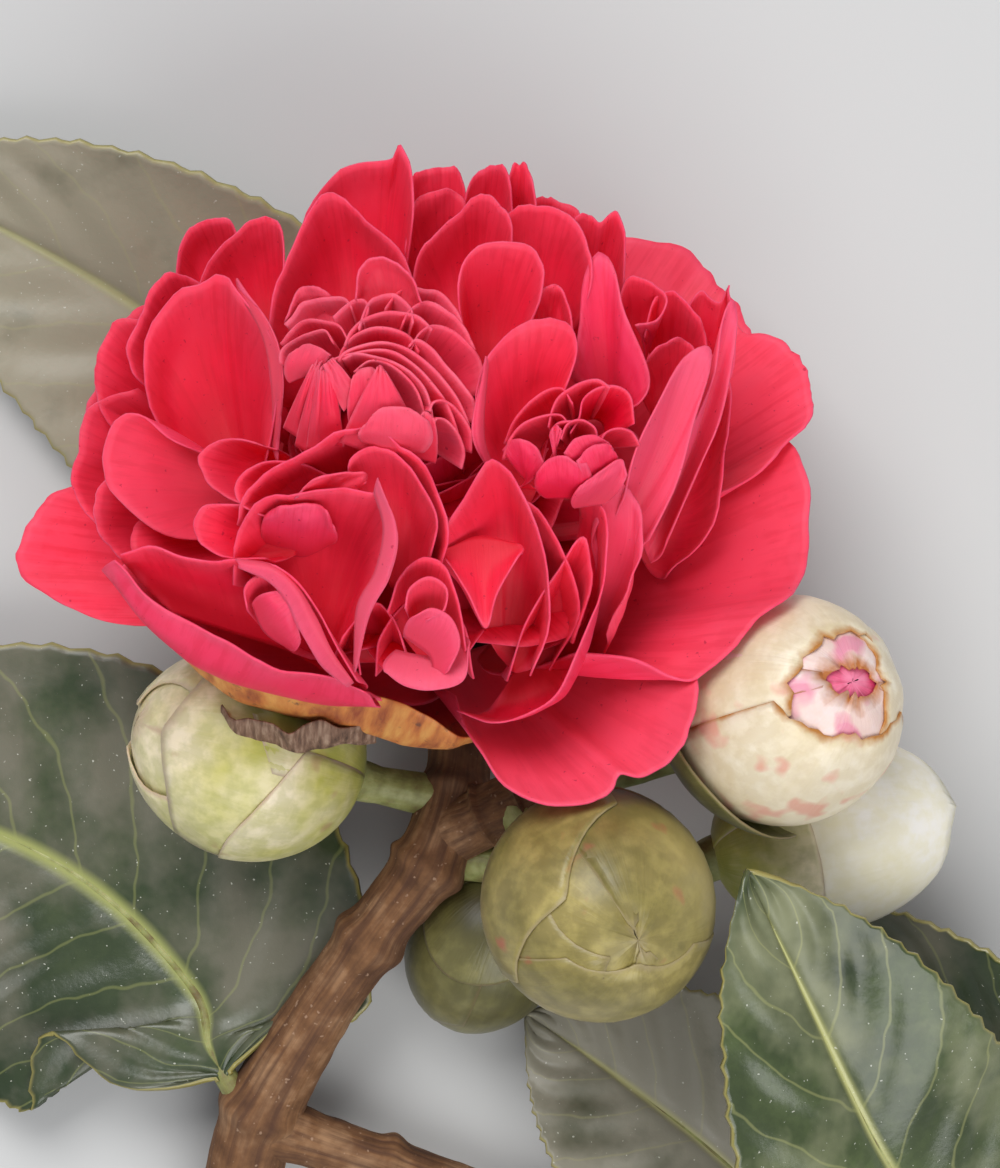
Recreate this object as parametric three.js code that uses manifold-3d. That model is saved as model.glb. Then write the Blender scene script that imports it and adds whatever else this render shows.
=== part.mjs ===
// A cut camellia sprig that lies on a flat surface: one open double bloom, five buds and five leaves on a forked
// brown twig. Each bough, stalk, bud, leaf and outer petal is a solid of its own, and so is the bloom's heart.
// Millimetres, +Z up, Z = 0 is the surface. The bloom faces up and towards +Y, and the cut end points to -Y.

import * as THREE from "three";
import { mergeVertices } from "three/addons/utils/BufferGeometryUtils.js";
import Module from "manifold-3d";

const wasm = await Module();
wasm.setup();

// Driving dimensions.
const BLOOM_WIDTH = 80; // across the outer petals
const HEART_RADIUS = 0.385 * BLOOM_WIDTH; // the ball of inner petals, across its axis
const HEART_HALF_HEIGHT = 0.25 * BLOOM_WIDTH; // and along it
const PETAL_THICKNESS = 0.8;
const PETAL_HALF_WIDTH = 0.2 * BLOOM_WIDTH;
const LEAF_HALF_THICKNESS = 0.45;
const PETIOLE_RADIUS = 1.3;
const STALK_RADIUS = 2.1;
const TWIG_RADIUS = 3.3; // of the stem, half way up
const GAP = 0.3; // between pieces that meet

// The middle of the sprig's footprint, in the coordinates that the pieces below are laid out in.
const FOOTPRINT_MIDDLE = new THREE.Vector3(-10, -20.8, 0);

const UP = point(0, 0, 1);
const degrees = THREE.MathUtils.degToRad;

function point(x, y, z) {
  return new THREE.Vector3(x, y, z);
}

// ---------------------------------------------------------------------------------------------- colours

const material = (colour, roughness) =>
  new THREE.MeshStandardMaterial({ color: colour, roughness, metalness: 0 });

const petalRed = material(0xd41f3f, 0.6);
const fadedPetal = material(0xb9742c, 0.75);
const dryBract = material(0x6b4a35, 0.8);
const bark = material(0x7a4f35, 0.85);
const bractGreen = material(0x8c9152, 0.55);
const bractCream = material(0xe0d8ac, 0.55);
const bractOlive = material(0x5d642e, 0.55);
const leafGreen = material(0x42572f, 0.35);

// ---------------------------------------------------------------------------------------------- shaping

// A closed solid swept along a spine. Its section is an ellipse, halfWidth(t) across and halfDepth(t) thick at
// share t of the way along. face(t) is the way its upper side looks, and lift(t, q) raises the section at share
// q of its half width, from -1 to 1, which folds or cups a blade.
function sweep(spine, { halfWidth, halfDepth, face = () => UP, lift = () => 0, rings = 12, sides = 10 }) {
  const geometry = new THREE.CylinderGeometry(1, 1, 1, sides, rings);
  const place = geometry.attributes.position;
  for (let i = 0; i < place.count; i++) {
    const t = place.getY(i) + 0.5;
    const q = place.getX(i);
    const along = spine.getTangentAt(t);
    const across = along.clone().cross(face(t)).normalize();
    const outward = across.clone().cross(along);
    const at = spine
      .getPointAt(t)
      .addScaledVector(across, q * halfWidth(t))
      .addScaledVector(outward, place.getZ(i) * halfDepth(t) + lift(t, q));
    place.setXYZ(i, at.x, at.y, at.z);
  }
  return geometry;
}

// A round limb through the points, whose radius runs smoothly through the given radii.
function limb(points, radii, { rings = 14, sides = 12, grow = 0 } = {}) {
  const spine = new THREE.CatmullRomCurve3(points);
  const radius = (t) => {
    const place = t * (radii.length - 1);
    const low = Math.min(Math.floor(place), radii.length - 2);
    return THREE.MathUtils.lerp(radii[low], radii[low + 1], place - low) + grow;
  };
  return sweep(spine, { halfWidth: radius, halfDepth: radius, rings, sides });
}

// A geometry as a solid that can be cut, and back.
function solidOf(geometry) {
  const bare = geometry.clone();
  bare.deleteAttribute("normal");
  bare.deleteAttribute("uv");
  const merged = mergeVertices(bare, 1e-4);
  return new wasm.Manifold(
    new wasm.Mesh({
      numProp: 3,
      vertProperties: merged.attributes.position.array,
      triVerts: new Uint32Array(merged.index.array),
    }),
  );
}

function geometryOf(solid) {
  const mesh = solid.getMesh();
  return new THREE.BufferGeometry()
    .setAttribute("position", new THREE.BufferAttribute(mesh.vertProperties, 3))
    .setIndex(new THREE.BufferAttribute(mesh.triVerts, 1));
}

// The geometry with the tools taken out of it. Only the largest body is kept.
function cut(geometry, ...tools) {
  const rest = tools.reduce((solid, tool) => solid.subtract(solidOf(tool)), solidOf(geometry));
  const bodies = rest.decompose().sort((a, b) => b.volume() - a.volume());
  return geometryOf(bodies[0]);
}

const sprig = new THREE.Group();

function add(name, geometry, look, parent = sprig) {
  const mesh = new THREE.Mesh(geometry, look);
  mesh.name = name;
  parent.add(mesh);
  return mesh;
}

// ------------------------------------------------------------------------------------------ the twig's boughs

// The stem runs from its cut end, on the surface, up to the back of the bloom.
const stemPoints = [
  point(-29.7, -78.2, 4.2),
  point(-28.4, -67.2, 5.5),
  point(-25.8, -57.1, 8),
  point(-19.4, -45.9, 12.5),
  point(-12.4, -36, 16),
  point(-7, -28.6, 17),
  point(-4.5, -20, 14.5),
  point(-4.7, -12.5, 12.9),
  point(-5.2, -8.2, 14.2),
];
const stemRadii = [1.28, 1.26, 1.3, 1.06, 1, 1.14, 1.0, 0.9, 0.95].map((share) => share * TWIG_RADIUS);
const stem = (grow = 0) => limb(stemPoints, stemRadii, { rings: 20, sides: 10, grow });

// The side twig leaves the stem at the fork and carries three of the leaves.
const sideTwigPoints = [
  point(-25.5, -58.6, 7.8),
  point(-20, -60.6, 7),
  point(-9.8, -64.1, 6),
  point(6.5, -70, 5),
  point(24, -77.1, 3.7),
  point(39.3, -83.2, 2.4),
  point(47, -86.6, 1.75),
];
const sideTwigRadii = [1.2, 0.92, 0.84, 0.78, 0.7, 0.6, 0.52].map((share) => share * TWIG_RADIUS);
const sideTwig = (grow = 0) => limb(sideTwigPoints, sideTwigRadii, { rings: 18, sides: 10, grow });

// The spur is the short side shoot under the bloom that carries the three buds on the right.
const spurPoints = [point(-6.4, -27.2, 16.8), point(-1.6, -24.8, 18.4), point(2.6, -22.8, 20), point(5, -21.6, 20.8)];
const spurRadii = [1.05, 1.0, 0.98, 0.95].map((share) => share * TWIG_RADIUS);
const spur = (grow = 0) => limb(spurPoints, spurRadii, { rings: 5, sides: 10, grow });

add("stem", stem(), bark);
add("side_twig", cut(sideTwig(), stem(GAP)), bark);
add("spur", cut(spur(), stem(GAP)), bark);

// ---------------------------------------------------------------------------------------------- the buds

// A bud is a pointed egg of closed bracts. It is turned from its base along an axis, and ledges are the shares of
// its length where a ring of bracts ends and the outline steps in.
const BUD_RINGS = 11;
const LEDGE = 0.45;

function budGeometry(width, length, ledges) {
  const profile = [new THREE.Vector2(0, 0)];
  for (let i = 1; i < BUD_RINGS; i++) {
    const turn = (Math.PI * i) / BUD_RINGS;
    const share = (1 - Math.cos(turn)) / 2;
    const steps = ledges.filter((ledge) => share > ledge).length;
    const taper = 1 - 0.16 * share ** 4;
    profile.push(new THREE.Vector2((width / 2) * Math.sin(turn) * taper - LEDGE * steps, share * length));
  }
  profile.push(new THREE.Vector2(0, length));
  return new THREE.LatheGeometry(profile, 14);
}

// The bud in its place, grown all round where another piece is to be cut clear of it.
function placedBud({ width, length, ledges, base, axis }, grow = 0) {
  return budGeometry(width + 2 * grow, length + 2 * grow, ledges)
    .translate(0, -grow, 0)
    .applyQuaternion(new THREE.Quaternion().setFromUnitVectors(point(0, 1, 0), axis))
    .translate(base.x, base.y, base.z);
}

const stalkRadii = [1.15, 0.95, 1.1].map((share) => share * STALK_RADIUS);

const buds = [
  {
    name: "front",
    centre: point(10.2, -32.9, 39.5),
    axis: point(0.265, -0.487, 0.833),
    width: 24.6,
    length: 27,
    ledges: [0.45],
    look: bractGreen,
    root: point(1.6, -23.6, 20.4),
  },
  {
    name: "opening",
    centre: point(30, -12.8, 38.4),
    axis: point(0.8, 0.29, 0.525),
    width: 24.6,
    length: 30,
    ledges: [0.22],
    look: bractCream,
    root: point(4, -22, 20.4),
  },
  {
    name: "pale",
    centre: point(35.4, -26.4, 19.8),
    axis: point(0.96, 0.2, 0.02),
    width: 21,
    length: 26.5,
    ledges: [0.4],
    look: bractCream,
    root: point(2.4, -23.4, 18.2),
  },
  {
    name: "split",
    centre: point(-26.8, -17.6, 23),
    axis: point(-0.9, 0.25, 0.35),
    width: 23.6,
    length: 26,
    ledges: [0.3],
    look: bractGreen,
    root: point(-5.6, -23, 15.6),
  },
  {
    name: "dark",
    centre: point(-1.8, -39.5, 9.2),
    axis: point(-0.28, -0.72, -0.63),
    width: 17.4,
    length: 21.4,
    ledges: [0.5],
    look: bractOlive,
    root: point(-7.4, -29, 14.6),
  },
];

for (const bud of buds) {
  bud.axis.normalize();
  bud.base = bud.centre.clone().addScaledVector(bud.axis, -bud.length / 2);
  add("bud_" + bud.name, placedBud(bud), bud.look);
}

// Each stalk runs from inside its bough to just under its bud. It is cut back to the bark, and to the stalks
// that already stand there.
const boughs = [stem(GAP), spur(GAP)];
const stalksSoFar = [];
for (const bud of buds) {
  const end = bud.base.clone().addScaledVector(bud.axis, -GAP);
  const bend = end.clone().addScaledVector(bud.axis, -0.35 * bud.root.distanceTo(end));
  const stalk = (grow = 0) =>
    limb([bud.root, bend, end], stalkRadii, { rings: 5, sides: 8, grow });
  add("stalk_" + bud.name, cut(stalk(), ...boughs, ...stalksSoFar), bractGreen);
  stalksSoFar.push(stalk(GAP));
}

// ---------------------------------------------------------------------------------------------- the bloom

// The bloom has its own frame: its origin is where the petals meet, its +Z is the way it faces, and its +Y is up
// the slope of its back.
const BLOOM_BASE = point(-6, -3, 20);
const BLOOM_AXIS = point(-0.1, 0.665, 0.74).normalize();

const bloom = new THREE.Group();
const rise = point(0, 1, 0).addScaledVector(BLOOM_AXIS, -BLOOM_AXIS.y).normalize();
bloom.position.copy(BLOOM_BASE);
bloom.quaternion.setFromRotationMatrix(
  new THREE.Matrix4().makeBasis(rise.clone().cross(BLOOM_AXIS), rise, BLOOM_AXIS),
);
sprig.add(bloom);

// The heart: a ball of crowded inner petals, so its skin is a field of lobes with a hollow between each.
const HEART_HEIGHT = 29; // its middle, above where the petals meet
const LOBE_DEPTH = 0.045;

function heartGeometry() {
  const geometry = new THREE.SphereGeometry(1, 32, 18);
  const place = geometry.attributes.position;
  for (let i = 0; i < place.count; i++) {
    const [x, y, z] = [place.getX(i), place.getY(i), place.getZ(i)];
    const above = Math.max(0, z);
    const lobes = Math.sin(5.2 * x + 1.1) * Math.sin(5.6 * y + 0.4) + 0.6 * Math.sin(9.1 * x - 6.3 * y);
    const size = 1 + LOBE_DEPTH * lobes * Math.sqrt(Math.abs(1 - z * z)) + 0.02 * lobes * above;
    place.setXYZ(
      i,
      x * HEART_RADIUS * size,
      y * HEART_RADIUS * size,
      HEART_HEIGHT + z * HEART_HALF_HEIGHT * size,
    );
  }
  return geometry;
}

add("bloom_heart", heartGeometry(), petalRed, bloom);

// The calyx is the cup of small bracts behind the bloom, with the pillar that the petals stand round.
const PILLAR_RADIUS = 2.2;
const PILLAR_TOP = HEART_HEIGHT - HEART_HALF_HEIGHT - GAP;

function calyxGeometry() {
  const profile = [
    [0, -6.2],
    [3.4, -6.2],
    [5.6, -4.4],
    [7.6, -1.8],
    [8.2, 0.2],
    [PILLAR_RADIUS, -0.8],
    [PILLAR_RADIUS, PILLAR_TOP],
    [0, PILLAR_TOP],
  ].map(([radius, height]) => new THREE.Vector2(radius, height));
  return new THREE.LatheGeometry(profile, 16).rotateX(Math.PI / 2);
}

// An outer petal is a thin patch of a bowl round the bloom's axis. In section it runs on a curve from the base
// out to its tip. Petals of a higher layer start higher up. The last is a dry bract that still clings there.
const LAYER_STEP = 1.7;
const BASE_RADIUS = PILLAR_RADIUS + GAP;
const BASE_HALF_WIDTH = 2;

function outerPetalGeometry(
  { turn, layer, reach, height, crest, halfWidth = PETAL_HALF_WIDTH },
  grow = 0,
) {
  const start = 1 + LAYER_STEP * layer;
  const section = new THREE.QuadraticBezierCurve(
    new THREE.Vector2(BASE_RADIUS, start),
    new THREE.Vector2(0.5 * reach, start + crest),
    new THREE.Vector2(reach, height),
  );
  const geometry = new THREE.BoxGeometry(2, 2, 2, 6, 1, 7);
  const place = geometry.attributes.position;
  for (let i = 0; i < place.count; i++) {
    const q = place.getX(i);
    const along = ((place.getZ(i) + 1) / 2) * (1 - 0.2 * Math.abs(q) ** 2.4);
    const width = BASE_HALF_WIDTH + (halfWidth - BASE_HALF_WIDTH) * Math.sin((Math.PI / 2) * along ** 0.8);
    const at = section.getPoint(along);
    const tangent = section.getTangent(along);
    const half = place.getY(i) * (PETAL_THICKNESS / 2 + grow);
    const radius = at.x - tangent.y * half;
    const angle = degrees(turn) + (q * (width + grow)) / at.x;
    place.setXYZ(i, radius * Math.cos(angle), radius * Math.sin(angle), at.y + tangent.x * half);
  }
  return geometry;
}

const outerPetals = [
  { name: "petal_bottom", turn: -56, layer: 0, reach: 35.4, height: 5.3, crest: 9 },
  { name: "petal_behind", turn: 75, layer: 0, reach: 42, height: 10.6, crest: 4 },
  { name: "petal_left", turn: -171, layer: 0, reach: 42.7, height: 15.5, crest: 4 },
  { name: "petal_lower_right", turn: -8, layer: 1, reach: 38, height: 9.8, crest: 6 },
  { name: "petal_upper_right", turn: 48, layer: 1, reach: 46, height: 12, crest: 4 },
  { name: "petal_behind_left", turn: 112, layer: 1, reach: 37, height: 19, crest: 4 },
  { name: "petal_faded", turn: -120, layer: 1, reach: 26, height: 7, crest: 4, halfWidth: 14, look: fadedPetal },
  { name: "petal_right", turn: 18, layer: 2, reach: 41, height: 19.8, crest: 4 },
  { name: "petal_upper_left", turn: 157, layer: 2, reach: 37.5, height: 26, crest: 4 },
  { name: "petal_lower_left", turn: -138, layer: 2, reach: 28, height: 13, crest: 5, halfWidth: 13 },
  { name: "dry_bract", turn: -127, layer: 0, reach: 24, height: 3, crest: 3, halfWidth: 7, look: dryBract },
];

// Each petal is cut clear of the petals before it in the list, and of the buds that lean on the bloom.
bloom.updateMatrix();
const toBloom = bloom.matrix.clone().invert();
const leaning = buds.map((bud) => placedBud(bud, GAP).applyMatrix4(toBloom));
const petalsSoFar = [];
for (const petal of outerPetals) {
  const blade = cut(outerPetalGeometry(petal), ...petalsSoFar, ...leaning);
  add(petal.name, blade, petal.look ?? petalRed, bloom);
  petalsSoFar.push(outerPetalGeometry(petal, GAP));
}

add("calyx", calyxGeometry(), bractOlive, bloom);

// ---------------------------------------------------------------------------------------------- the leaves

// A leaf is one blade with its petiole: a flat lens in section, folded up along its midrib.
const LEAF_TIP_HALF_WIDTH = 0.35;

function leafGeometry({ spine, petiole, halfWidth, face, fold }) {
  const outline = (t) => {
    if (t <= petiole) return PETIOLE_RADIUS;
    const share = (t - petiole) / (1 - petiole);
    const blade = halfWidth * Math.sin(Math.PI * share ** 0.85) ** 0.8;
    return Math.max(blade, THREE.MathUtils.lerp(PETIOLE_RADIUS, LEAF_TIP_HALF_WIDTH, share));
  };
  const thickness = (t) => (t <= petiole ? PETIOLE_RADIUS * 0.8 : LEAF_HALF_THICKNESS);
  return sweep(new THREE.CatmullRomCurve3(spine), {
    halfWidth: outline,
    halfDepth: thickness,
    face: () => face,
    lift: (t, q) => (t <= petiole ? 0 : Math.abs(q) * outline(t) * Math.tan(fold)),
    rings: 13,
    sides: 10,
  });
}

const leaves = [
  {
    name: "front",
    spine: [
      point(46, -84.6, 5.4),
      point(49, -81, 12),
      point(46.8, -71, 25),
      point(38.8, -57.5, 36),
      point(31.2, -42, 41.6),
      point(25, -29.2, 43.4),
    ],
    petiole: 0.09,
    halfWidth: 17,
    face: point(0.1, 0.3, 1),
    fold: degrees(16),
  },
  {
    name: "low",
    spine: [
      point(43, -82.6, 5.2),
      point(36.5, -75, 6.6),
      point(24, -62.4, 8.6),
      point(12, -53, 8),
      point(3, -47, 5.4),
    ],
    petiole: 0.09,
    halfWidth: 15,
    face: point(0.1, 0.1, 1),
    fold: degrees(10),
  },
  {
    name: "right",
    spine: [
      point(48.8, -85.4, 2.6),
      point(54, -80.5, 4.6),
      point(58.6, -70, 9),
      point(52.4, -54, 12.4),
      point(42, -43, 12),
      point(32, -36.2, 9),
    ],
    petiole: 0.09,
    halfWidth: 15,
    face: point(-0.35, -0.3, 1),
    fold: degrees(12),
  },
  {
    name: "left",
    spine: [
      point(-27.6, -57, 9.4),
      point(-31.4, -50.2, 10.4),
      point(-33, -44.4, 9.6),
      point(-42.4, -34.4, 8),
      point(-54.4, -27.4, 6.8),
      point(-71, -23, 4.8),
      point(-89, -20.6, 0.55),
    ],
    petiole: 0.1,
    halfWidth: 25,
    face: point(-0.05, -0.12, 1),
    fold: degrees(2),
  },
  {
    name: "back",
    spine: [
      point(-6.4, -15.4, 11.2),
      point(-8.8, -8.6, 5.6),
      point(-14.4, 4, 2.6),
      point(-25.4, 18.6, 2.2),
      point(-40.1, 30.5, 3.4),
      point(-55.7, 39.4, 4.6),
      point(-67, 44.2, 6.4),
    ],
    petiole: 0.1,
    halfWidth: 19,
    face: point(0.2, -0.32, 1),
    fold: degrees(12),
  },
];

// Each leaf is cut clear of the twigs it springs from and of the outer petals that lie on it.
const overLeaves = petalsSoFar.map((petal) => petal.applyMatrix4(bloom.matrix));
for (const leaf of leaves)
  add("leaf_" + leaf.name, cut(leafGeometry(leaf), stem(GAP), sideTwig(GAP), ...overLeaves), leafGreen);

// ------------------------------------------------------------------------------------- the finished group

sprig.position.copy(FOOTPRINT_MIDDLE).negate();

const cutSprig = new THREE.Group();
cutSprig.add(sprig);

export default cutSprig;
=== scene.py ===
import math
import random

import bmesh
import bpy
from mathutils import Matrix, Vector, noise


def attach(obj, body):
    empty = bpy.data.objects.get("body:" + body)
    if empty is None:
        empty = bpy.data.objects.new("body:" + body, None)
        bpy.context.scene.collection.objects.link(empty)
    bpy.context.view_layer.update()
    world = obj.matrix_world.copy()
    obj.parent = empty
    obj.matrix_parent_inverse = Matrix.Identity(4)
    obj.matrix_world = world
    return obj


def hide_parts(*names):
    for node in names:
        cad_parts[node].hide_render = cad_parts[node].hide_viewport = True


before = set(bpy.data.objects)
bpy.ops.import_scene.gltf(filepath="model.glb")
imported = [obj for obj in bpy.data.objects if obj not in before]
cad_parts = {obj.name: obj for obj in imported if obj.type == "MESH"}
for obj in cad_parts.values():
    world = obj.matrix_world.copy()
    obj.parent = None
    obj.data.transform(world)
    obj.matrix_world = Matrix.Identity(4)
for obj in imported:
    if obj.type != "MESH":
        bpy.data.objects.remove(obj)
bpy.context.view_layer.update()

# ---------------------------------------------------------------------------------------- stem
# The stem, the side twig and the spur are one forked twig of a woody shrub. Its thin brown bark is ribbed
# along its length, cracked into fine flakes and dotted with pale pores. It was cut with a blade.

MM = 0.001
WELD = 0.01 * MM  # how close two points are merged
FOOTPRINT_MIDDLE = Vector((-10, -20.8, 0))  # of the whole sprig, in millimetres, in its own layout


def spot(x, y, z):
    """A point of the sprig's layout, given in millimetres, as a place in the frame."""
    return (Vector((x, y, z)) - FOOTPRINT_MIDDLE) * MM


def smooth_line(points):
    """The smooth line through the points, as a function of the share of the way along."""
    ends = [2 * points[0] - points[1], *points, 2 * points[-1] - points[-2]]

    def at(share):
        place = min(max(share, 0), 1) * (len(points) - 1)
        first = min(int(place), len(points) - 2)
        f = place - first
        a, b, c, d = ends[first : first + 4]
        return 0.5 * (
            2 * b + (c - a) * f + (2 * a - 5 * b + 4 * c - d) * f**2 + (3 * b - a - 3 * c + d) * f**3
        )

    return at


def direction(line, share):
    step = 0.01
    return (line(min(share + step, 1)) - line(max(share - step, 0))).normalized()


def steps(values, share):
    """The value at a share of the way along a row of evenly spaced values."""
    place = min(max(share, 0), 1) * (len(values) - 1)
    first = min(int(place), len(values) - 2)
    return values[first] + (values[first + 1] - values[first]) * (place - first)


def patch(bm, across, along, shape, material_index=0, tone=0.0):
    """A grid of faces whose corners are put at shape(u, v), with u from -1 to 1 and v from 0 to 1.

    The grid's own u and v are kept as the UV map, and tone as an attribute that its material reads.
    """
    uv = bm.loops.layers.uv.verify()
    tones = bm.loops.layers.float_color.get("tone") or bm.loops.layers.float_color.new("tone")
    before = set(bm.faces)
    made = bmesh.ops.create_grid(bm, x_segments=across, y_segments=along, size=1)
    for face in set(bm.faces) - before:
        face.material_index = material_index
        face.smooth = True
        for loop in face.loops:
            loop[uv].uv = ((loop.vert.co.x + 1) / 2, (loop.vert.co.y + 1) / 2)
            loop[tones] = (tone, tone, tone, 1)
    for vert in made["verts"]:
        vert.co = shape(vert.co.x, (vert.co.y + 1) / 2)
    return made["verts"]


def finished(bm, name, materials, nodes, thickness=0, back_material=0):
    """The mesh as a piece of the sprig. A thickness makes a thin shell solid, half of it to each side."""
    mesh = bpy.data.meshes.new(name)
    bm.to_mesh(mesh)
    bm.free()
    piece = bpy.data.objects.new(name, mesh)
    bpy.context.scene.collection.objects.link(piece)
    for material in materials:
        mesh.materials.append(material)
    if thickness:
        wall = piece.modifiers.new("wall", "SOLIDIFY")
        wall.thickness = thickness
        wall.offset = 0
        wall.material_offset = back_material
        wall.material_offset_rim = back_material
    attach(piece, "root")
    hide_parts(*nodes)
    return piece


def shader(name, **values):
    """A new material, its node tree and its Principled shader, whose constants are set on its sockets."""
    material = bpy.data.materials.new(name)
    material.use_nodes = True
    principled = material.node_tree.nodes["Principled BSDF"]
    for socket, value in values.items():
        principled.inputs[socket.replace("_", " ")].default_value = value
    return material, material.node_tree, principled


def node(tree, kind, inputs=None, **settings):
    """A node in the tree. An input is given as a value, or as the output that feeds it."""
    made = tree.nodes.new("ShaderNode" + kind)
    for key, value in settings.items():
        setattr(made, key, value)
    for key, value in (inputs or {}).items():
        if isinstance(value, bpy.types.NodeSocket):
            tree.links.new(value, made.inputs[key])
        else:
            made.inputs[key].default_value = value
    return made


def grain(tree, vector, scale, detail=3.0):
    """Fractal noise from 0 to 1."""
    inputs = {"Vector": vector, "Scale": scale, "Detail": detail, "Roughness": 0.55}
    return node(tree, "TexNoise", inputs).outputs["Fac"]


def ramp(tree, value, stops):
    """A colour ramp with the stops (place, colour or grey)."""
    made = node(tree, "ValToRGB", {"Fac": value})
    elements = made.color_ramp.elements
    while len(elements) < len(stops):
        elements.new(1.0)
    for element, (place, colour) in zip(elements, stops):
        element.position = place
        element.color = (*colour, 1) if isinstance(colour, tuple) else (colour, colour, colour, 1)
    return made.outputs["Color"]


def mixed(tree, factor, a, b):
    """Colour a with colour b over it, by the factor."""
    made = node(tree, "Mix", data_type="RGBA")
    for key, value in ((0, factor), (6, a), (7, b)):
        if isinstance(value, bpy.types.NodeSocket):
            tree.links.new(value, made.inputs[key])
        elif key and len(value) == 3:
            made.inputs[key].default_value = (*value, 1)
        else:
            made.inputs[key].default_value = value
    return made.outputs[2]


def sums(tree, operation, a, b=0.0):
    return node(tree, "Math", {0: a, 1: b}, operation=operation).outputs[0]


def bump(tree, height, strength, distance):
    made = node(tree, "Bump", {"Height": height, "Strength": strength, "Distance": distance})
    return made.outputs["Normal"]


def scaled_uv(tree, u, v):
    """The piece's UV map, stretched to u and v lengths of pattern."""
    where = node(tree, "UVMap").outputs[0]
    return node(tree, "Mapping", {"Vector": where, "Scale": (u, v, 1)}).outputs[0]


bark, tree, principled = shader("bark", Roughness=0.8, Specular_IOR_Level=0.3)
objectwise = node(tree, "TexCoord").outputs["Object"]
ribs = grain(tree, scaled_uv(tree, 26, 5), 1.0, 4)
blotches = grain(tree, objectwise, 260, 4)
pores = grain(tree, objectwise, 1500, 1)
colour = ramp(
    tree, blotches,
    [(0.3, (0.095, 0.042, 0.018)), (0.5, (0.2, 0.094, 0.04)), (0.68, (0.33, 0.185, 0.095))],
)
colour = mixed(tree, ramp(tree, ribs, [(0.35, 0.75), (0.6, 0.0)]), colour, (0.07, 0.03, 0.018))
colour = mixed(tree, ramp(tree, pores, [(0.7, 0.0), (0.76, 0.5)]), colour, (0.46, 0.3, 0.2))
tree.links.new(colour, principled.inputs["Base Color"])
tree.links.new(bump(tree, ribs, 0.6, 0.0004), principled.inputs["Normal"])

cut_wood, tree, principled = shader("cut_wood", Roughness=0.7)
objectwise = node(tree, "TexCoord").outputs["Object"]
colour = ramp(tree, grain(tree, objectwise, 900), [(0.3, (0.46, 0.33, 0.17)), (0.7, (0.66, 0.53, 0.31))])
tree.links.new(colour, principled.inputs["Base Color"])

TWIG_RADIUS = 3.3 * MM
RIB_DEPTH = 0.16 * MM
FLAKE_DEPTH = 0.22 * MM
KNOT_HEIGHT = 0.21 * TWIG_RADIUS
KNOT_LENGTH = 0.016  # as a share of the limb's length


def limb(bm, points, radii, around=40, along=150, relief=1.0, knots=()):
    """A round limb through the points with the bark's relief, closed at both ends. Knots are leaf scars."""
    line = smooth_line(points)
    fixed = direction(line, 0).cross(Vector((0, 0, 1))).normalized()

    def shape(u, v):
        forward = direction(line, v)
        side = (fixed - forward * fixed.dot(forward)).normalized()
        up = side.cross(forward)
        angle = -math.pi * u
        outward = side * math.cos(angle) + up * math.sin(angle)
        at = line(v)
        radius = steps(radii, v)
        rib = noise.noise(Vector((outward.x, outward.y, outward.z)) * 5 + at * 130)
        flake = noise.noise(at * 420 + outward * 2.2)
        swelling = KNOT_HEIGHT * sum(math.exp(-(((v - knot) / KNOT_LENGTH) ** 2)) for knot in knots)
        radius += relief * (RIB_DEPTH * rib + FLAKE_DEPTH * max(0, flake)) + swelling
        return at + outward * radius

    verts = patch(bm, around, along, shape)
    bmesh.ops.remove_doubles(bm, verts=verts, dist=WELD)
    rims = [e for e in bm.edges if e.is_boundary and all(v.is_valid for v in e.verts)]
    for cap in bmesh.ops.holes_fill(bm, edges=rims, sides=0)["faces"]:
        cap.material_index = 1


def bark_piece(name, points, radii, **options):
    bm = bmesh.new()
    limb(bm, [spot(*p) for p in points], [TWIG_RADIUS * r for r in radii], **options)
    bmesh.ops.recalc_face_normals(bm, faces=bm.faces)
    return finished(bm, name + "_bark", [bark, cut_wood], [name])


bark_piece(
    "stem",
    [
        (-29.7, -78.2, 4.2),
        (-28.4, -67.2, 5.5),
        (-25.8, -57.1, 8),
        (-19.4, -45.9, 12.5),
        (-12.4, -36, 16),
        (-7, -28.6, 17),
        (-4.5, -20, 14.5),
        (-4.7, -12.5, 12.9),
        (-5.2, -8.2, 14.2),
    ],
    [1.28, 1.26, 1.3, 1.06, 1, 1.14, 1.0, 0.9, 0.95],
    along=260,
    knots=(0.25, 0.47, 0.6, 0.72),
)
bark_piece(
    "side_twig",
    [
        (-25.5, -58.6, 7.8),
        (-20, -60.6, 7),
        (-9.8, -64.1, 6),
        (6.5, -70, 5),
        (24, -77.1, 3.7),
        (39.3, -83.2, 2.4),
        (47, -86.6, 1.75),
    ],
    [1.2, 0.92, 0.84, 0.78, 0.7, 0.6, 0.52],
    around=32,
    along=220,
    knots=(0.3, 0.62, 0.88),
)
bark_piece(
    "spur",
    [(-6.4, -27.2, 16.8), (-1.6, -24.8, 18.4), (2.6, -22.8, 20), (5, -21.6, 20.8)],
    [1.05, 1.0, 0.98, 0.95],
    around=32,
    along=50,
    knots=(0.35, 0.7),
)

# ---------------------------------------------------------------------------------------- buds
# Each bud is a plump egg of tough bracts that overlap like tiles, with a thin, dry edge and fine hairs.
# Green bracts are blotched with cream and a little red. The buds sit on short green stalks.


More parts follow.
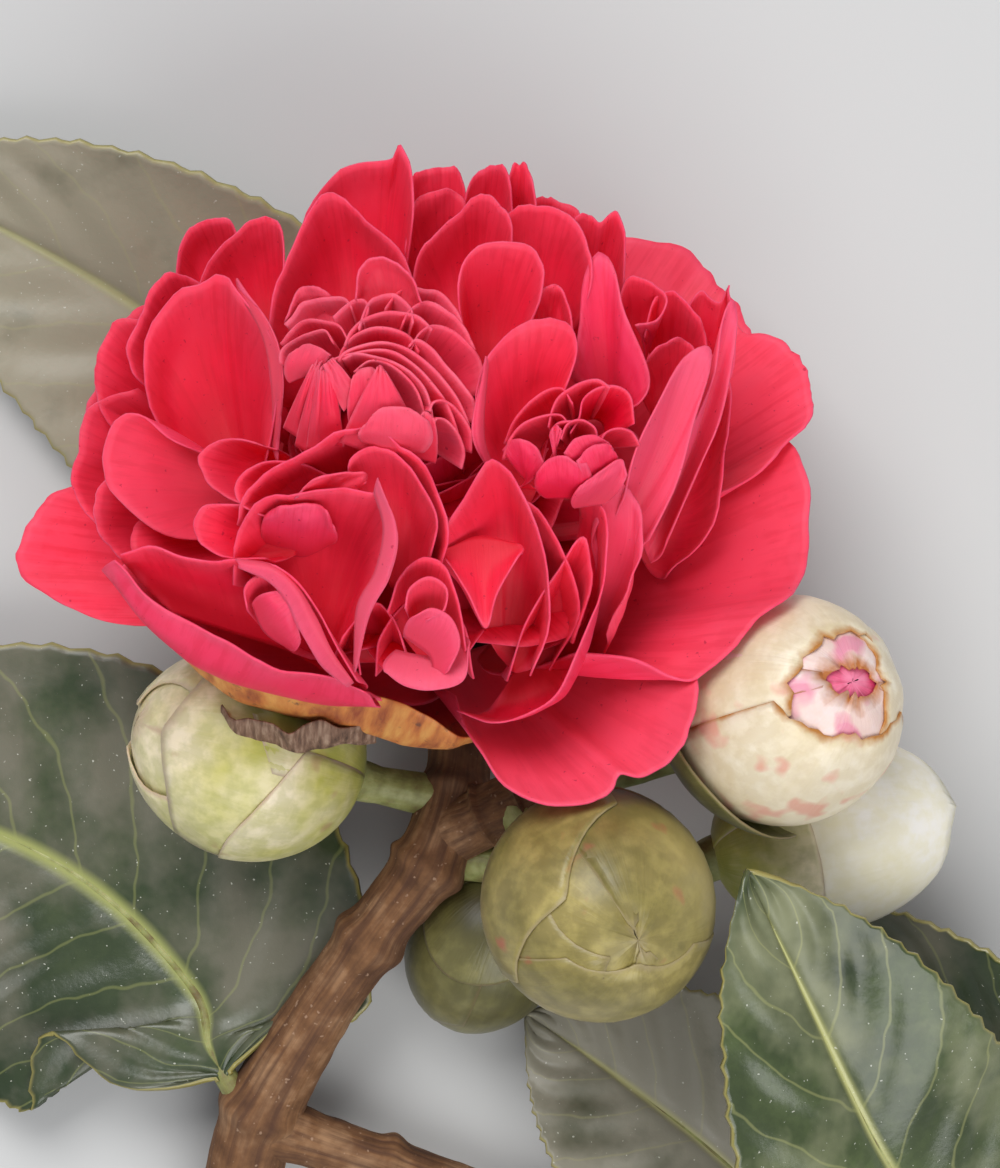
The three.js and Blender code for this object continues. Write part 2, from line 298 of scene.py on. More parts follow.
def silk_group():
    """Fine pale hairs and streaks that lie along a bract, as a mask and a height; the pale colour laid on
    the mask is partly the hairs' own and partly painted sheen.
    """
    group = bpy.data.node_groups.new("silk", "ShaderNodeTree")
    face = group.interface
    face.new_socket("Length", in_out="INPUT", socket_type="NodeSocketFloat")
    face.new_socket("Mask", in_out="OUTPUT", socket_type="NodeSocketFloat")
    face.new_socket("Height", in_out="OUTPUT", socket_type="NodeSocketFloat")
    inward = group.nodes.new("NodeGroupInput")
    outward = group.nodes.new("NodeGroupOutput")
    hairs_and_sheen = grain(group, scaled_uv(group, 55, 3), inward.outputs["Length"], 2)
    patches = grain(group, node(group, "TexCoord").outputs["Object"], 330, 2)
    streaks = sums(group, "MULTIPLY", hairs_and_sheen, patches)
    mask = ramp(group, streaks, [(0.26, 0.0), (0.42, 1.0)])
    group.links.new(mask, outward.inputs["Mask"])
    group.links.new(hairs_and_sheen, outward.inputs["Height"])
    return group


silk = silk_group()


def edge_group():
    """1 at the sides and tip of a patch, and unevenly less inwards, to 0 at a width given as its share."""
    group = bpy.data.node_groups.new("edge", "ShaderNodeTree")
    for name in ("Width", "Tip"):
        group.interface.new_socket(name, in_out="INPUT", socket_type="NodeSocketFloat")
    group.interface.new_socket("Mask", in_out="OUTPUT", socket_type="NodeSocketFloat")
    inward = group.nodes.new("NodeGroupInput")
    outward = group.nodes.new("NodeGroupOutput")
    width = inward.outputs["Width"]
    where = node(group, "SeparateXYZ", {"Vector": node(group, "UVMap").outputs[0]})
    right = sums(group, "SUBTRACT", 1.0, where.outputs["X"])
    side = sums(group, "MULTIPLY", sums(group, "MINIMUM", where.outputs["X"], right), 1.6)
    end = sums(group, "MULTIPLY", sums(group, "SUBTRACT", 1.0, where.outputs["Y"]), inward.outputs["Tip"])
    uneven = grain(group, node(group, "TexCoord").outputs["Object"], 420, 3)
    jag = sums(group, "MULTIPLY", sums(group, "SUBTRACT", uneven, 0.45), width)
    jag = sums(group, "MULTIPLY", jag, 2.0)
    nearest = sums(group, "ADD", sums(group, "MINIMUM", side, end), jag)
    mask = ramp(group, sums(group, "DIVIDE", nearest, width), [(0.0, 1.0), (1.0, 0.0)])
    group.links.new(mask, outward.inputs["Mask"])
    return group


edges = edge_group()


def edge_mask(tree, width, tip=1.0):
    made = node(tree, "Group", {}, node_tree=edges)
    made.inputs["Width"].default_value = width
    made.inputs["Tip"].default_value = tip
    return made.outputs["Mask"]


def bract_material(name, deep, body, light, blush, dry, blush_share=0.7, edge_width=0.05):
    """A bract from its deep base colour to its light patches, with a blush in spots and a dry edge."""
    material, tree, principled = shader(
        name, Roughness=0.38, Specular_IOR_Level=0.5, Sheen_Weight=0.04, Subsurface_Weight=0.12
    )
    principled.inputs["Subsurface Scale"].default_value = 2 * MM
    principled.inputs["Subsurface Radius"].default_value = (0.9, 1.0, 0.4)
    objectwise = node(tree, "TexCoord").outputs["Object"]
    where = node(tree, "SeparateXYZ", {"Vector": node(tree, "UVMap").outputs[0]})
    wide = grain(tree, objectwise, 120, 3)
    fine = grain(tree, objectwise, 520, 4)
    along = sums(tree, "ADD", sums(tree, "MULTIPLY", where.outputs["Y"], 0.35), wide)
    colour = ramp(tree, along, [(0.34, deep), (0.6, body), (0.95, light)])
    colour = mixed(tree, ramp(tree, fine, [(0.42, 0.35), (0.62, 0.0)]), colour, deep)
    # painted highlight: a light patch round the middle of each bract, as strong as its tone attribute
    on_patch = node(tree, "UVMap").outputs[0]
    from_middle = node(tree, "VectorMath", {0: on_patch, 1: (0.5, 0.62, 0)}, operation="DISTANCE")
    painted_highlight = ramp(tree, from_middle.outputs["Value"], [(0.08, 1.0), (0.34, 0.0)])
    painted_highlight = sums(tree, "MULTIPLY", painted_highlight, node(tree, "Attribute", attribute_name="tone").outputs["Fac"])
    colour = mixed(tree, painted_highlight, colour, light)
    tips = grain(tree, objectwise, 210, 2)
    colour = mixed(tree, ramp(tree, tips, [(blush_share, 0.0), (blush_share + 0.1, 0.75)]), colour, blush)
    hairs_and_sheen = node(tree, "Group", {}, node_tree=silk)
    hairs_and_sheen.inputs["Length"].default_value = 1.0
    # pale hairs, partly their own colour and partly painted sheen
    colour = mixed(tree, sums(tree, "MULTIPLY", hairs_and_sheen.outputs["Mask"], 0.12), colour, light)
    colour = mixed(tree, edge_mask(tree, edge_width), colour, dry)
    tree.links.new(colour, principled.inputs["Base Color"])
    tree.links.new(bump(tree, hairs_and_sheen.outputs["Height"], 0.25, 0.0002), principled.inputs["Normal"])
    return material


green_bract = bract_material(
    "green_bract", deep=(0.075, 0.056, 0.012), body=(0.155, 0.132, 0.026), light=(0.42, 0.34, 0.11),
    blush=(0.42, 0.1, 0.06), dry=(0.34, 0.27, 0.13), blush_share=0.68, edge_width=0.018,
)
cream_bract = bract_material(
    "cream_bract", deep=(0.56, 0.42, 0.2), body=(0.76, 0.62, 0.38), light=(0.86, 0.77, 0.58),
    blush=(0.75, 0.32, 0.24), dry=(0.46, 0.18, 0.035), blush_share=0.58, edge_width=0.03,
)
pink_bract = bract_material(
    "pink_bract", deep=(0.76, 0.5, 0.4), body=(0.84, 0.6, 0.52), light=(0.88, 0.74, 0.68),
    blush=(0.78, 0.18, 0.32), dry=(0.46, 0.15, 0.035), blush_share=0.5, edge_width=0.035,
)
white_bract = bract_material(
    "white_bract", deep=(0.84, 0.76, 0.42), body=(0.94, 0.87, 0.62), light=(0.97, 0.93, 0.82),
    blush=(0.8, 0.66, 0.44), dry=(0.76, 0.7, 0.5), blush_share=0.84, edge_width=0.015,
)
pale_bract = bract_material(
    "pale_bract", deep=(0.26, 0.28, 0.035), body=(0.52, 0.5, 0.11), light=(0.8, 0.7, 0.48),
    blush=(0.4, 0.22, 0.12), dry=(0.55, 0.42, 0.28), blush_share=0.66, edge_width=0.03,
)
dark_bract = bract_material(
    "dark_bract", deep=(0.04, 0.035, 0.01), body=(0.11, 0.1, 0.025), light=(0.22, 0.2, 0.07),
    blush=(0.2, 0.09, 0.03), dry=(0.2, 0.15, 0.07), edge_width=0.03,
)


def egg(share):
    """The radius of a bud of width 2 and length 1 at a share of its length."""
    return 2 * math.sqrt(max(0, share * (1 - share))) * (1 - 0.16 * share**4)


def bract(
    bm, bud, turn, spread, start, end, lift=0.0, point=0.5, round_power=1.6, wave=0.5, index=0,
    across=18, along=22, tone=0.0, jag=0.004,
):
    """One bract wrapped on the bud, from one share of its length to another.

    Its middle is at a turn in degrees, counted round the bud from its right. Tone is how strong the painted
    highlight on its middle is.
    """
    base, axis, width, length = bud["base"], bud["axis"], bud["width"] * MM, bud["length"] * MM
    right = Vector((1, 0, 0))
    side = (right - axis * right.dot(axis)).normalized()
    lift = lift * MM

    def shape(u, v):
        reach = 1 - point * abs(u) ** round_power
        reach += jag * noise.noise(Vector((u * 7, turn, 0)))
        share = min(1, start + (end - start) * v * reach)
        open_angle = math.radians(turn) + u * math.radians(spread)
        outward = Matrix.Rotation(open_angle, 3, axis) @ side
        ripple = noise.noise(outward * 2.4 + axis * share * 3 + Vector((turn, 0, 0)))
        step = lift * (0.3 + 0.7 * v) + (0.1 + wave * 0.22 * ripple * v) * MM
        radius = egg(share) * width / 2 + step * min(1, 8 * (1 - share))
        return base + axis * (share * length + step * share) + outward * radius

    patch(bm, across, along, shape, index, tone)


def whole_bud(
    name, material, centre, axis, width, length, bracts, extra=(), inside=None,
):
    """A bud: its solid core, and the bracts that wrap it, from the oldest and outermost to the last."""
    axis = Vector(axis).normalized()
    bud = {"axis": axis, "width": width, "length": length, "base": spot(*centre) - axis * length / 2 * MM}
    materials = [material, *extra]
    core = bmesh.new()
    inner = {**bud, "width": width - 0.6, "length": length - 0.3}
    bract(core, inner, turn=140, spread=180, start=0, end=1, point=0, wave=0, across=56, along=40)
    bmesh.ops.remove_doubles(core, verts=core.verts, dist=WELD)
    bmesh.ops.recalc_face_normals(core, faces=core.faces)
    finished(core, "bud_%s_core" % name, [inside or material], ["bud_" + name])
    bm = bmesh.new()
    for each in bracts:
        bract(bm, bud, **each)
    bmesh.ops.recalc_face_normals(bm, faces=bm.faces)
    finished(bm, "bud_%s_bracts" % name, materials, ["bud_" + name], thickness=0.22 * MM)
    return bud


# The opening bud shows its first petals, packed in a slit at its tip.
first_petals, tree, principled = shader("first_petals", Roughness=0.5, Specular_IOR_Level=0.3)
colour = ramp(
    tree, grain(tree, scaled_uv(tree, 30, 2), 1.0),
    [(0.35, (0.36, 0.0, 0.03)), (0.65, (0.8, 0.05, 0.18))],
)
colour = mixed(tree, edge_mask(tree, 0.03), colour, (0.85, 0.25, 0.38))
tree.links.new(colour, principled.inputs["Base Color"])

front_bud = whole_bud(
    "front", green_bract, (10.2, -32.9, 39.5), (0.267, -0.2, 0.943), 23.6, 26.6,
    [
        dict(turn=200, spread=115, start=0.02, end=1.01, lift=0.03, point=0.02),
        dict(turn=15, spread=105, start=0.04, end=1.01, lift=0.1, point=0.02, round_power=3, tone=0.9),
        dict(turn=213, spread=60, start=0.04, end=0.975, lift=0.12, point=0.2, round_power=1.5, tone=0.25),
        dict(turn=272, spread=74, start=0.04, end=0.983, lift=0.2, point=0.1, round_power=2, tone=0.3),
        dict(turn=150, spread=64, start=0.04, end=0.87, lift=0.3, point=0.3, round_power=1.4),
        dict(turn=330, spread=50, start=0.0, end=0.42, lift=0.4, point=0.4),
        dict(turn=50, spread=50, start=0.0, end=0.36, lift=0.4, point=0.4),
        dict(turn=240, spread=50, start=0.0, end=0.34, lift=0.4, point=0.4),
    ],
)
UNDER_LIPS = dict(spread=100, start=0.1, end=0.995, point=0.026, round_power=2, index=2, wave=2, jag=0.012)
TORN = dict(start=0.04, jag=0.035)  # the bracts that have split open, with a torn edge
opening_bud = whole_bud(
    "opening", cream_bract, (29.4, -12.9, 37), (0.46, 0.23, 0.86), 23.2, 27,
    [
        dict(turn=75, spread=88, start=0.4, end=0.985, lift=-1.1, point=0.0, index=3, wave=1.6),
        dict(turn=240, spread=88, start=0.4, end=0.98, lift=-0.7, point=0.0, index=3, wave=1.6),
        dict(turn=95, lift=-0.1, **UNDER_LIPS),
        dict(turn=268, lift=-0.05, **UNDER_LIPS),
        dict(turn=15, spread=62, end=0.965, lift=0.15, point=0.06, wave=1.4, tone=0.5, **TORN),
        dict(turn=128, spread=84, end=0.945, lift=0.24, point=0.06, wave=1.6, tone=0.5, **TORN),
        dict(turn=272, spread=76, end=0.935, lift=0.39, point=0.08, wave=1.6, tone=0.4, **TORN),
        dict(turn=228, spread=58, start=0.0, end=0.47, lift=1.7, point=0.3, index=1),
        dict(turn=350, spread=50, start=0.0, end=0.36, lift=0.54, point=0.35, index=1),
        dict(turn=100, spread=60, start=0.0, end=0.34, lift=0.54, point=0.35, index=1),
    ],
    extra=[dark_bract, pink_bract, first_petals], inside=first_petals,
)
pale_bud = whole_bud(
    "pale", white_bract, (35.4, -26.4, 19.8), (0.96, 0.2, 0.02), 20.2, 26,
    [
        dict(turn=70, spread=104, start=0.04, end=0.99, lift=0.06, point=0.1),
        dict(turn=250, spread=100, start=0.04, end=1.0, lift=0.18, point=0.14),
        dict(turn=275, spread=74, start=0.0, end=0.41, lift=0.33, point=0.16, index=1),
        dict(turn=100, spread=70, start=0.0, end=0.4, lift=0.3, point=0.2, index=1),
        dict(turn=180, spread=60, start=0.0, end=0.34, lift=0.42, point=0.3, index=1),
    ],
    extra=[pale_bract],
)
split_bud = whole_bud(
    "split", pale_bract, (-26.8, -17.6, 23), (-0.9, 0.25, 0.35), 22.6, 25.6,
    [
        dict(turn=80, spread=84, start=0.04, end=0.99, lift=0.03, point=0.15),
        dict(turn=200, spread=80, start=0.04, end=0.97, lift=0.12, point=0.2),
        dict(turn=320, spread=80, start=0.04, end=0.93, lift=0.21, point=0.24, wave=1.2),
        dict(turn=20, spread=64, start=0.02, end=0.72, lift=0.3, point=0.3, wave=1.2),
        dict(turn=270, spread=62, start=0.0, end=0.56, lift=0.36, point=0.3),
        dict(turn=150, spread=62, start=0.0, end=0.5, lift=0.36, point=0.3),
    ],
)
dark_bud = whole_bud(
    "dark", dark_bract, (-1.8, -39.5, 9.2), (-0.28, -0.72, -0.63), 16.6, 21,
    [
        dict(turn=60, spread=84, start=0.04, end=0.99, lift=0.06, point=0.2),
        dict(turn=180, spread=84, start=0.04, end=0.96, lift=0.15, point=0.25),
        dict(turn=300, spread=84, start=0.04, end=0.9, lift=0.24, point=0.3),
        dict(turn=0, spread=60, start=0.0, end=0.5, lift=0.3, point=0.35),
        dict(turn=240, spread=60, start=0.0, end=0.44, lift=0.3, point=0.35),
        dict(turn=120, spread=60, start=0.0, end=0.4, lift=0.3, point=0.35),
    ],
)

# The stalks are short, thick and green. They run from the bark to just inside each bud.

stalk_skin, tree, principled = shader("stalk_skin", Roughness=0.5, Subsurface_Weight=0.08)
principled.inputs["Subsurface Scale"].default_value = 1 * MM
objectwise = node(tree, "TexCoord").outputs["Object"]
colour = ramp(
    tree, grain(tree, objectwise, 330, 4),
    [(0.34, (0.15, 0.11, 0.04)), (0.5, (0.25, 0.26, 0.08)), (0.7, (0.42, 0.42, 0.18))],
)
tree.links.new(colour, principled.inputs["Base Color"])
lines = grain(tree, scaled_uv(tree, 20, 4), 1.0)
tree.links.new(bump(tree, lines, 0.4, 0.0003), principled.inputs["Normal"])

STALK_RADIUS = 2.1 * MM
stalk_roots = {
    "front": ((1.6, -23.6, 20.4), front_bud),
    "opening": ((4, -22, 20.4), opening_bud),
    "pale": ((2.4, -23.4, 18.2), pale_bud),
    "split": ((-5.6, -23, 15.6), split_bud),
    "dark": ((-7.4, -29, 14.6), dark_bud),
}
for name, (root, bud) in stalk_roots.items():
    root = spot(*root)
    end = bud["base"] + bud["axis"] * 0.06 * bud["length"] * MM
    bend = end - bud["axis"] * 0.35 * (root - end).length
    bm = bmesh.new()
    radii = [STALK_RADIUS * r for r in (1.15, 0.95, 1.2)]
    limb(bm, [root, bend, end], radii, around=24, along=40, relief=0.5)
    bmesh.ops.recalc_face_normals(bm, faces=bm.faces)
    finished(bm, "stalk_" + name + "_skin", [stalk_skin, stalk_skin], ["stalk_" + name])

# ---------------------------------------------------------------------------------------- leaves
# The leaves are thick, leathery and glossy, with a sunken midrib, slanting veins, and a finely saw-toothed
# margin that is yellow where it is thin. Each hangs on a short yellow-green petiole.

VEIN_SLANT = 0.21  # how much further up the blade a vein ends than it starts, as a share of its length
VEIN_BEAT = 62.0  # radians of the row of veins from the foot of the blade to its tip
QUILT_HEIGHT = 0.21 * MM


def leaf_material(name, deep, body, sheen_film, sheen_film_share, rib):
    """A leaf from deep to body green, under a patchy pale film that is partly painted grey sheen, with its
    veins in the colour of its rib.
    """
    material, tree, principled = shader(
        name, Roughness=0.32, Specular_IOR_Level=0.5, Coat_Weight=0.2, Coat_Roughness=0.25
    )
    objectwise = node(tree, "TexCoord").outputs["Object"]
    where = node(tree, "SeparateXYZ", {"Vector": node(tree, "UVMap").outputs[0]})
    wide = grain(tree, objectwise, 60, 3)
    fine = grain(tree, objectwise, 900, 3)
    colour = ramp(tree, wide, [(0.35, deep), (0.65, body)])
    colour = mixed(tree, ramp(tree, fine, [(0.4, 0.3), (0.6, 0.0)]), colour, deep)
    # a patchy pale grey film, partly on the leaf and partly painted sheen; it is also rougher
    sheen_film_mask = ramp(
        tree, grain(tree, objectwise, 85, 4),
        [(0.62 - sheen_film_share * 0.5, 0.0), (0.86 - sheen_film_share * 0.5, 0.9)],
    )
    colour = mixed(tree, sheen_film_mask, colour, sheen_film)
    off_middle = sums(tree, "ABSOLUTE", sums(tree, "SUBTRACT", where.outputs["X"], 0.5))
    midrib = ramp(tree, off_middle, [(0.008, 1.0), (0.03, 0.0)])
    slant = sums(tree, "MULTIPLY", off_middle, 2 * VEIN_SLANT)
    slant = sums(tree, "SUBTRACT", where.outputs["Y"], slant)
    wander = sums(tree, "MULTIPLY", grain(tree, objectwise, 130, 2), 0.05)
    beat = sums(tree, "SINE", sums(tree, "MULTIPLY", sums(tree, "ADD", slant, wander), VEIN_BEAT))
    veins = ramp(tree, beat, [(0.98, 0.0), (1.0, 0.28)])
    colour = mixed(tree, veins, colour, rib)
    colour = mixed(tree, midrib, colour, rib)
    specks = ramp(tree, grain(tree, objectwise, 2300, 1), [(0.74, 0.0), (0.78, 0.55)])
    colour = mixed(tree, specks, colour, (0.7, 0.7, 0.6))
    margin = ramp(tree, off_middle, [(0.49, 0.0), (0.499, 0.8)])
    colour = mixed(tree, margin, colour, (0.34, 0.29, 0.08))
    tree.links.new(colour, principled.inputs["Base Color"])
    tree.links.new(bump(tree, fine, 0.25, 0.0002), principled.inputs["Normal"])
    rough = ramp(tree, sheen_film_mask, [(0.0, 0.28), (1.0, 0.5)])
    tree.links.new(rough, principled.inputs["Roughness"])
    return material


fresh_leaf = leaf_material(
    "fresh_leaf", (0.024, 0.038, 0.012), (0.08, 0.11, 0.036), (0.22, 0.23, 0.125), 0.34,
    (0.42, 0.42, 0.16),
)
grey_leaf = leaf_material(
    "grey_leaf", (0.035, 0.045, 0.02), (0.1, 0.1, 0.06), (0.27, 0.25, 0.19), 0.75, (0.36, 0.34, 0.15),
)
dim_leaf = leaf_material(
    "dim_leaf", (0.02, 0.035, 0.012), (0.055, 0.075, 0.03), (0.14, 0.13, 0.09), 0.45, (0.3, 0.32, 0.1),
)
olive_leaf = leaf_material(
    "olive_leaf", (0.09, 0.09, 0.05), (0.19, 0.18, 0.11), (0.33, 0.3, 0.21), 0.8, (0.36, 0.35, 0.17),
)

PETIOLE_RADIUS = 1.3 * MM
LEAF_THICKNESS = 0.55 * MM
TEETH = 34
TOOTH_HEIGHT = 0.9 * MM
MIDRIB_WIDTH = 0.9 * MM


def leaf(name, material, points, petiole, half_width, face, fold, curl=0.0, wave=0.5):
    """A leaf: its blade, folded along the midrib, on a petiole that runs on as the midrib's underside."""
    line = smooth_line([spot(*p) for p in points])
    face = Vector(face).normalized()
    half_width *= MM
    fold = math.radians(fold)
    bm = bmesh.new()

    def shape(u, v):
        share = petiole * 0.9 + (1 - petiole * 0.9) * v
        blade = max(0, (share - petiole) / (1 - petiole))
        along = direction(line, share)
        across = along.cross(face).normalized()
        outward = across.cross(along)
        width = half_width * math.sin(math.pi * min(blade, 1) ** 0.85) ** 0.8
        tooth = abs((blade * TEETH) % 1 - 0.35) * TOOTH_HEIGHT * abs(u) ** 6
        tooth *= min(1, 6 * blade, 8 * (1 - blade))
        width = max(width, MIDRIB_WIDTH * (1 - blade)) + tooth
        side = abs(u)
        slant = blade - VEIN_SLANT * side
        quilt = QUILT_HEIGHT * math.cos(slant * VEIN_BEAT) * 4 * side * (1 - side)
        groove = -0.5 * MM * math.exp(-((u / 0.05) ** 2)) * min(1, 6 * blade)
        droop = -curl * side**3 * width
        ripple = wave * MM * noise.noise(Vector((blade * 5, u * 1.2, half_width * 900))) * side * 2
        rise = side * width * math.tan(fold) + quilt + groove + droop + ripple
        return line(share) + across * (u * width) + outward * rise

    patch(bm, 48, 120, shape)
    blade = finished(bm, name + "_blade", [material], [name], thickness=LEAF_THICKNESS)
    bm = bmesh.new()
    count = 12
    shares = [petiole * 0.3 * i for i in range(5)]
    shares += [petiole + (1 - petiole) * i / count for i in range(1, count)]
    points_under = []
    for share in sorted(set(shares)):
        drop = min(1, share / petiole) * 0.55 * MM
        along = direction(line, share)
        outward = along.cross(face).normalized().cross(along)
        points_under.append(line(share) - outward * drop)
    beyond = len(points_under) - 4
    radii = [PETIOLE_RADIUS] * 4 + [0.62 * PETIOLE_RADIUS * (1 - i / (beyond + 1)) for i in range(beyond)]
    limb(bm, points_under, radii, around=16, along=90, relief=0.25)
    bmesh.ops.recalc_face_normals(bm, faces=bm.faces)
    finished(bm, name + "_petiole", [stalk_skin, stalk_skin], [name])
    return blade


leaf(
    "leaf_front", fresh_leaf,
    [
        (46, -84.6, 5.4), (49, -81, 12), (46.8, -71, 25), (38.8, -57.5, 36), (31.2, -42, 41.6),
        (25, -29.2, 43.4),
    ],
    0.09, 17, (0.1, 0.3, 1), 16, curl=0.1, wave=1.0,
)
leaf(
    "leaf_low", grey_leaf,
    [(43, -82.6, 5.2), (36.5, -75, 6.6), (24, -62.4, 8.6), (12, -53, 8), (3, -47, 5.4)],
    0.09, 15, (0.1, 0.1, 1), 10,
)
leaf(
    "leaf_right", dim_leaf,
    [
        (48.8, -85.4, 2.6), (54, -80.5, 4.6), (58.6, -70, 9), (52.4, -54, 12.4), (42, -43, 12),
        (32, -36.2, 9),
    ],
    0.09, 15, (-0.35, -0.3, 1), 12,
)
leaf(
    "leaf_left", dim_leaf,
    [
        (-27.6, -57, 9.4),
        (-31.4, -50.2, 10.4),
        (-33, -44.4, 9.6),
        (-42.4, -34.4, 8),
        (-54.4, -27.4, 6.8),
        (-71, -23, 4.8),
        (-89, -20.6, 0.55),
    ],
    0.1, 25, (-0.05, -0.12, 1), 2, wave=1.2,
)
leaf(
    "leaf_back", olive_leaf,
    [
        (-6.4, -15.4, 11.2),
        (-8.8, -8.6, 5.6),
        (-14.4, 4, 2.6),
        (-25.4, 18.6, 2.2),
        (-40.1, 30.5, 3.4),
        (-55.7, 39.4, 4.6),
        (-67, 44.2, 6.4),
    ],
    0.1, 19, (0.2, -0.32, 1), 12, wave=1.0,
)

# ---------------------------------------------------------------------------------------- petals
# The petals are thin, soft and velvety. Each is deep red in its hollow, partly its own colour and partly
# painted shade, rose on its face and paler pink along its rim, partly with painted highlights, and down its
# back, with fine veins that fan out from the base and a few dark specks.

# RIM_PINK is the pink that a petal's tone lifts it towards: partly paler pink petals and rims, partly
# painted light on petals in shade and painted highlights on rolled rims
RIM_PINK = (0.84, 0.15, 0.24)


def vein_group():
    """Fine veins that run along a petal and break off here and there, as a mask and a height."""
    group = bpy.data.node_groups.new("veins", "ShaderNodeTree")
    group.interface.new_socket("Mask", in_out="OUTPUT", socket_type="NodeSocketFloat")
    group.interface.new_socket("Height", in_out="OUTPUT", socket_type="NodeSocketFloat")
    outward = group.nodes.new("NodeGroupOutput")
    lines = grain(group, scaled_uv(group, 34, 2.2), 1.0, 3)
    cross = grain(group, node(group, "TexCoord").outputs["Object"], 420, 3)
    broken = sums(group, "ADD", lines, sums(group, "MULTIPLY", cross, 0.4))
    mask = ramp(group, broken, [(0.6, 1.0), (0.74, 0.0)])
    group.links.new(mask, outward.inputs["Mask"])
    group.links.new(lines, outward.inputs["Height"])
    return group


veins_group = vein_group()


def petal_material(name, hollow, face, upper, rim, rim_width):
    material, tree, principled = shader(
        name, Roughness=0.52, Specular_IOR_Level=0.18, Sheen_Weight=0.06, Sheen_Roughness=0.4,
        Subsurface_Weight=0.2,
    )
    principled.inputs["Subsurface Scale"].default_value = 2 * MM
    principled.inputs["Subsurface Radius"].default_value = (1.0, 0.15, 0.2)
    principled.inputs["Sheen Tint"].default_value = (1.0, 0.45, 0.65, 1)
    objectwise = node(tree, "TexCoord").outputs["Object"]
    where = node(tree, "SeparateXYZ", {"Vector": node(tree, "UVMap").outputs[0]})
    cloudy = grain(tree, objectwise, 150, 3)
    cloudy = sums(tree, "MULTIPLY", sums(tree, "SUBTRACT", cloudy, 0.5), 0.5)
    height = sums(tree, "ADD", where.outputs["Y"], cloudy)
    # darker red towards the foot of each petal: partly the petal's own deeper colour, partly painted shade
    # in its hollow
    colour = ramp(tree, height, [(0.2, hollow), (0.62, face), (1.0, upper)])
    veins = node(tree, "Group", {}, node_tree=veins_group)
    colour = mixed(tree, sums(tree, "MULTIPLY", veins.outputs["Mask"], 0.34), colour, hollow)
    # painted light: the tone attribute lifts a whole petal towards RIM_PINK, partly its own paler pink and
    # partly painted light on shaded petals and painted highlights on rolled ribbon rims
    tone = node(tree, "Attribute", attribute_name="tone")
    colour = mixed(tree, tone.outputs["Fac"], colour, RIM_PINK)
    # painted highlight: the rims are lightened towards the rim colour in patches, partly the petals' own
    # paler rim and partly painted highlight where light catches them
    patchy_rim_highlight = ramp(tree, grain(tree, objectwise, 260), [(0.35, 0.1), (0.65, 0.7)])
    colour = mixed(tree, sums(tree, "MULTIPLY", edge_mask(tree, rim_width, 0.8), patchy_rim_highlight), colour, rim)
    specks = ramp(tree, grain(tree, objectwise, 1500, 2), [(0.7, 0.0), (0.76, 0.5)])
    colour = mixed(tree, specks, colour, (0.25, 0.0, 0.02))
    tree.links.new(colour, principled.inputs["Base Color"])
    tree.links.new(bump(tree, veins.outputs["Height"], 0.2, 0.0002), principled.inputs["Normal"])
    return material


petal_face = petal_material(
    "petal_face", hollow=(0.62, 0.0, 0.014), face=(0.82, 0.006, 0.038), upper=(0.89, 0.032, 0.078),
    rim=(0.88, 0.075, 0.14), rim_width=0.09,
)
petal_back = petal_material(
    "petal_back", hollow=(0.66, 0.002, 0.03), face=(0.8, 0.014, 0.07), upper=(0.86, 0.045, 0.12),
    rim=(0.88, 0.1, 0.19), rim_width=0.1,
)
petal_pale = petal_material(
    "petal_pale", hollow=(0.68, 0.0, 0.022), face=(0.88, 0.01, 0.055), upper=(0.92, 0.05, 0.11),
    rim=(0.93, 0.15, 0.23), rim_width=0.14,
)
# a brighter, pinker copy of the petal colours for the outer petals: painted light where they lie in the
# bloom's shade
petal_guard_painted_light = petal_material(
    "petal_guard_painted_light", hollow=(0.66, 0.0, 0.018), face=(0.86, 0.024, 0.065), upper=(0.9, 0.05, 0.1),
    rim=(0.9, 0.09, 0.16), rim_width=0.05,
)

PETAL_THICKNESS = 0.2 * MM
petal_seeds = random.Random(11)  # each petal draws its own unevenness from it, in the order they are made


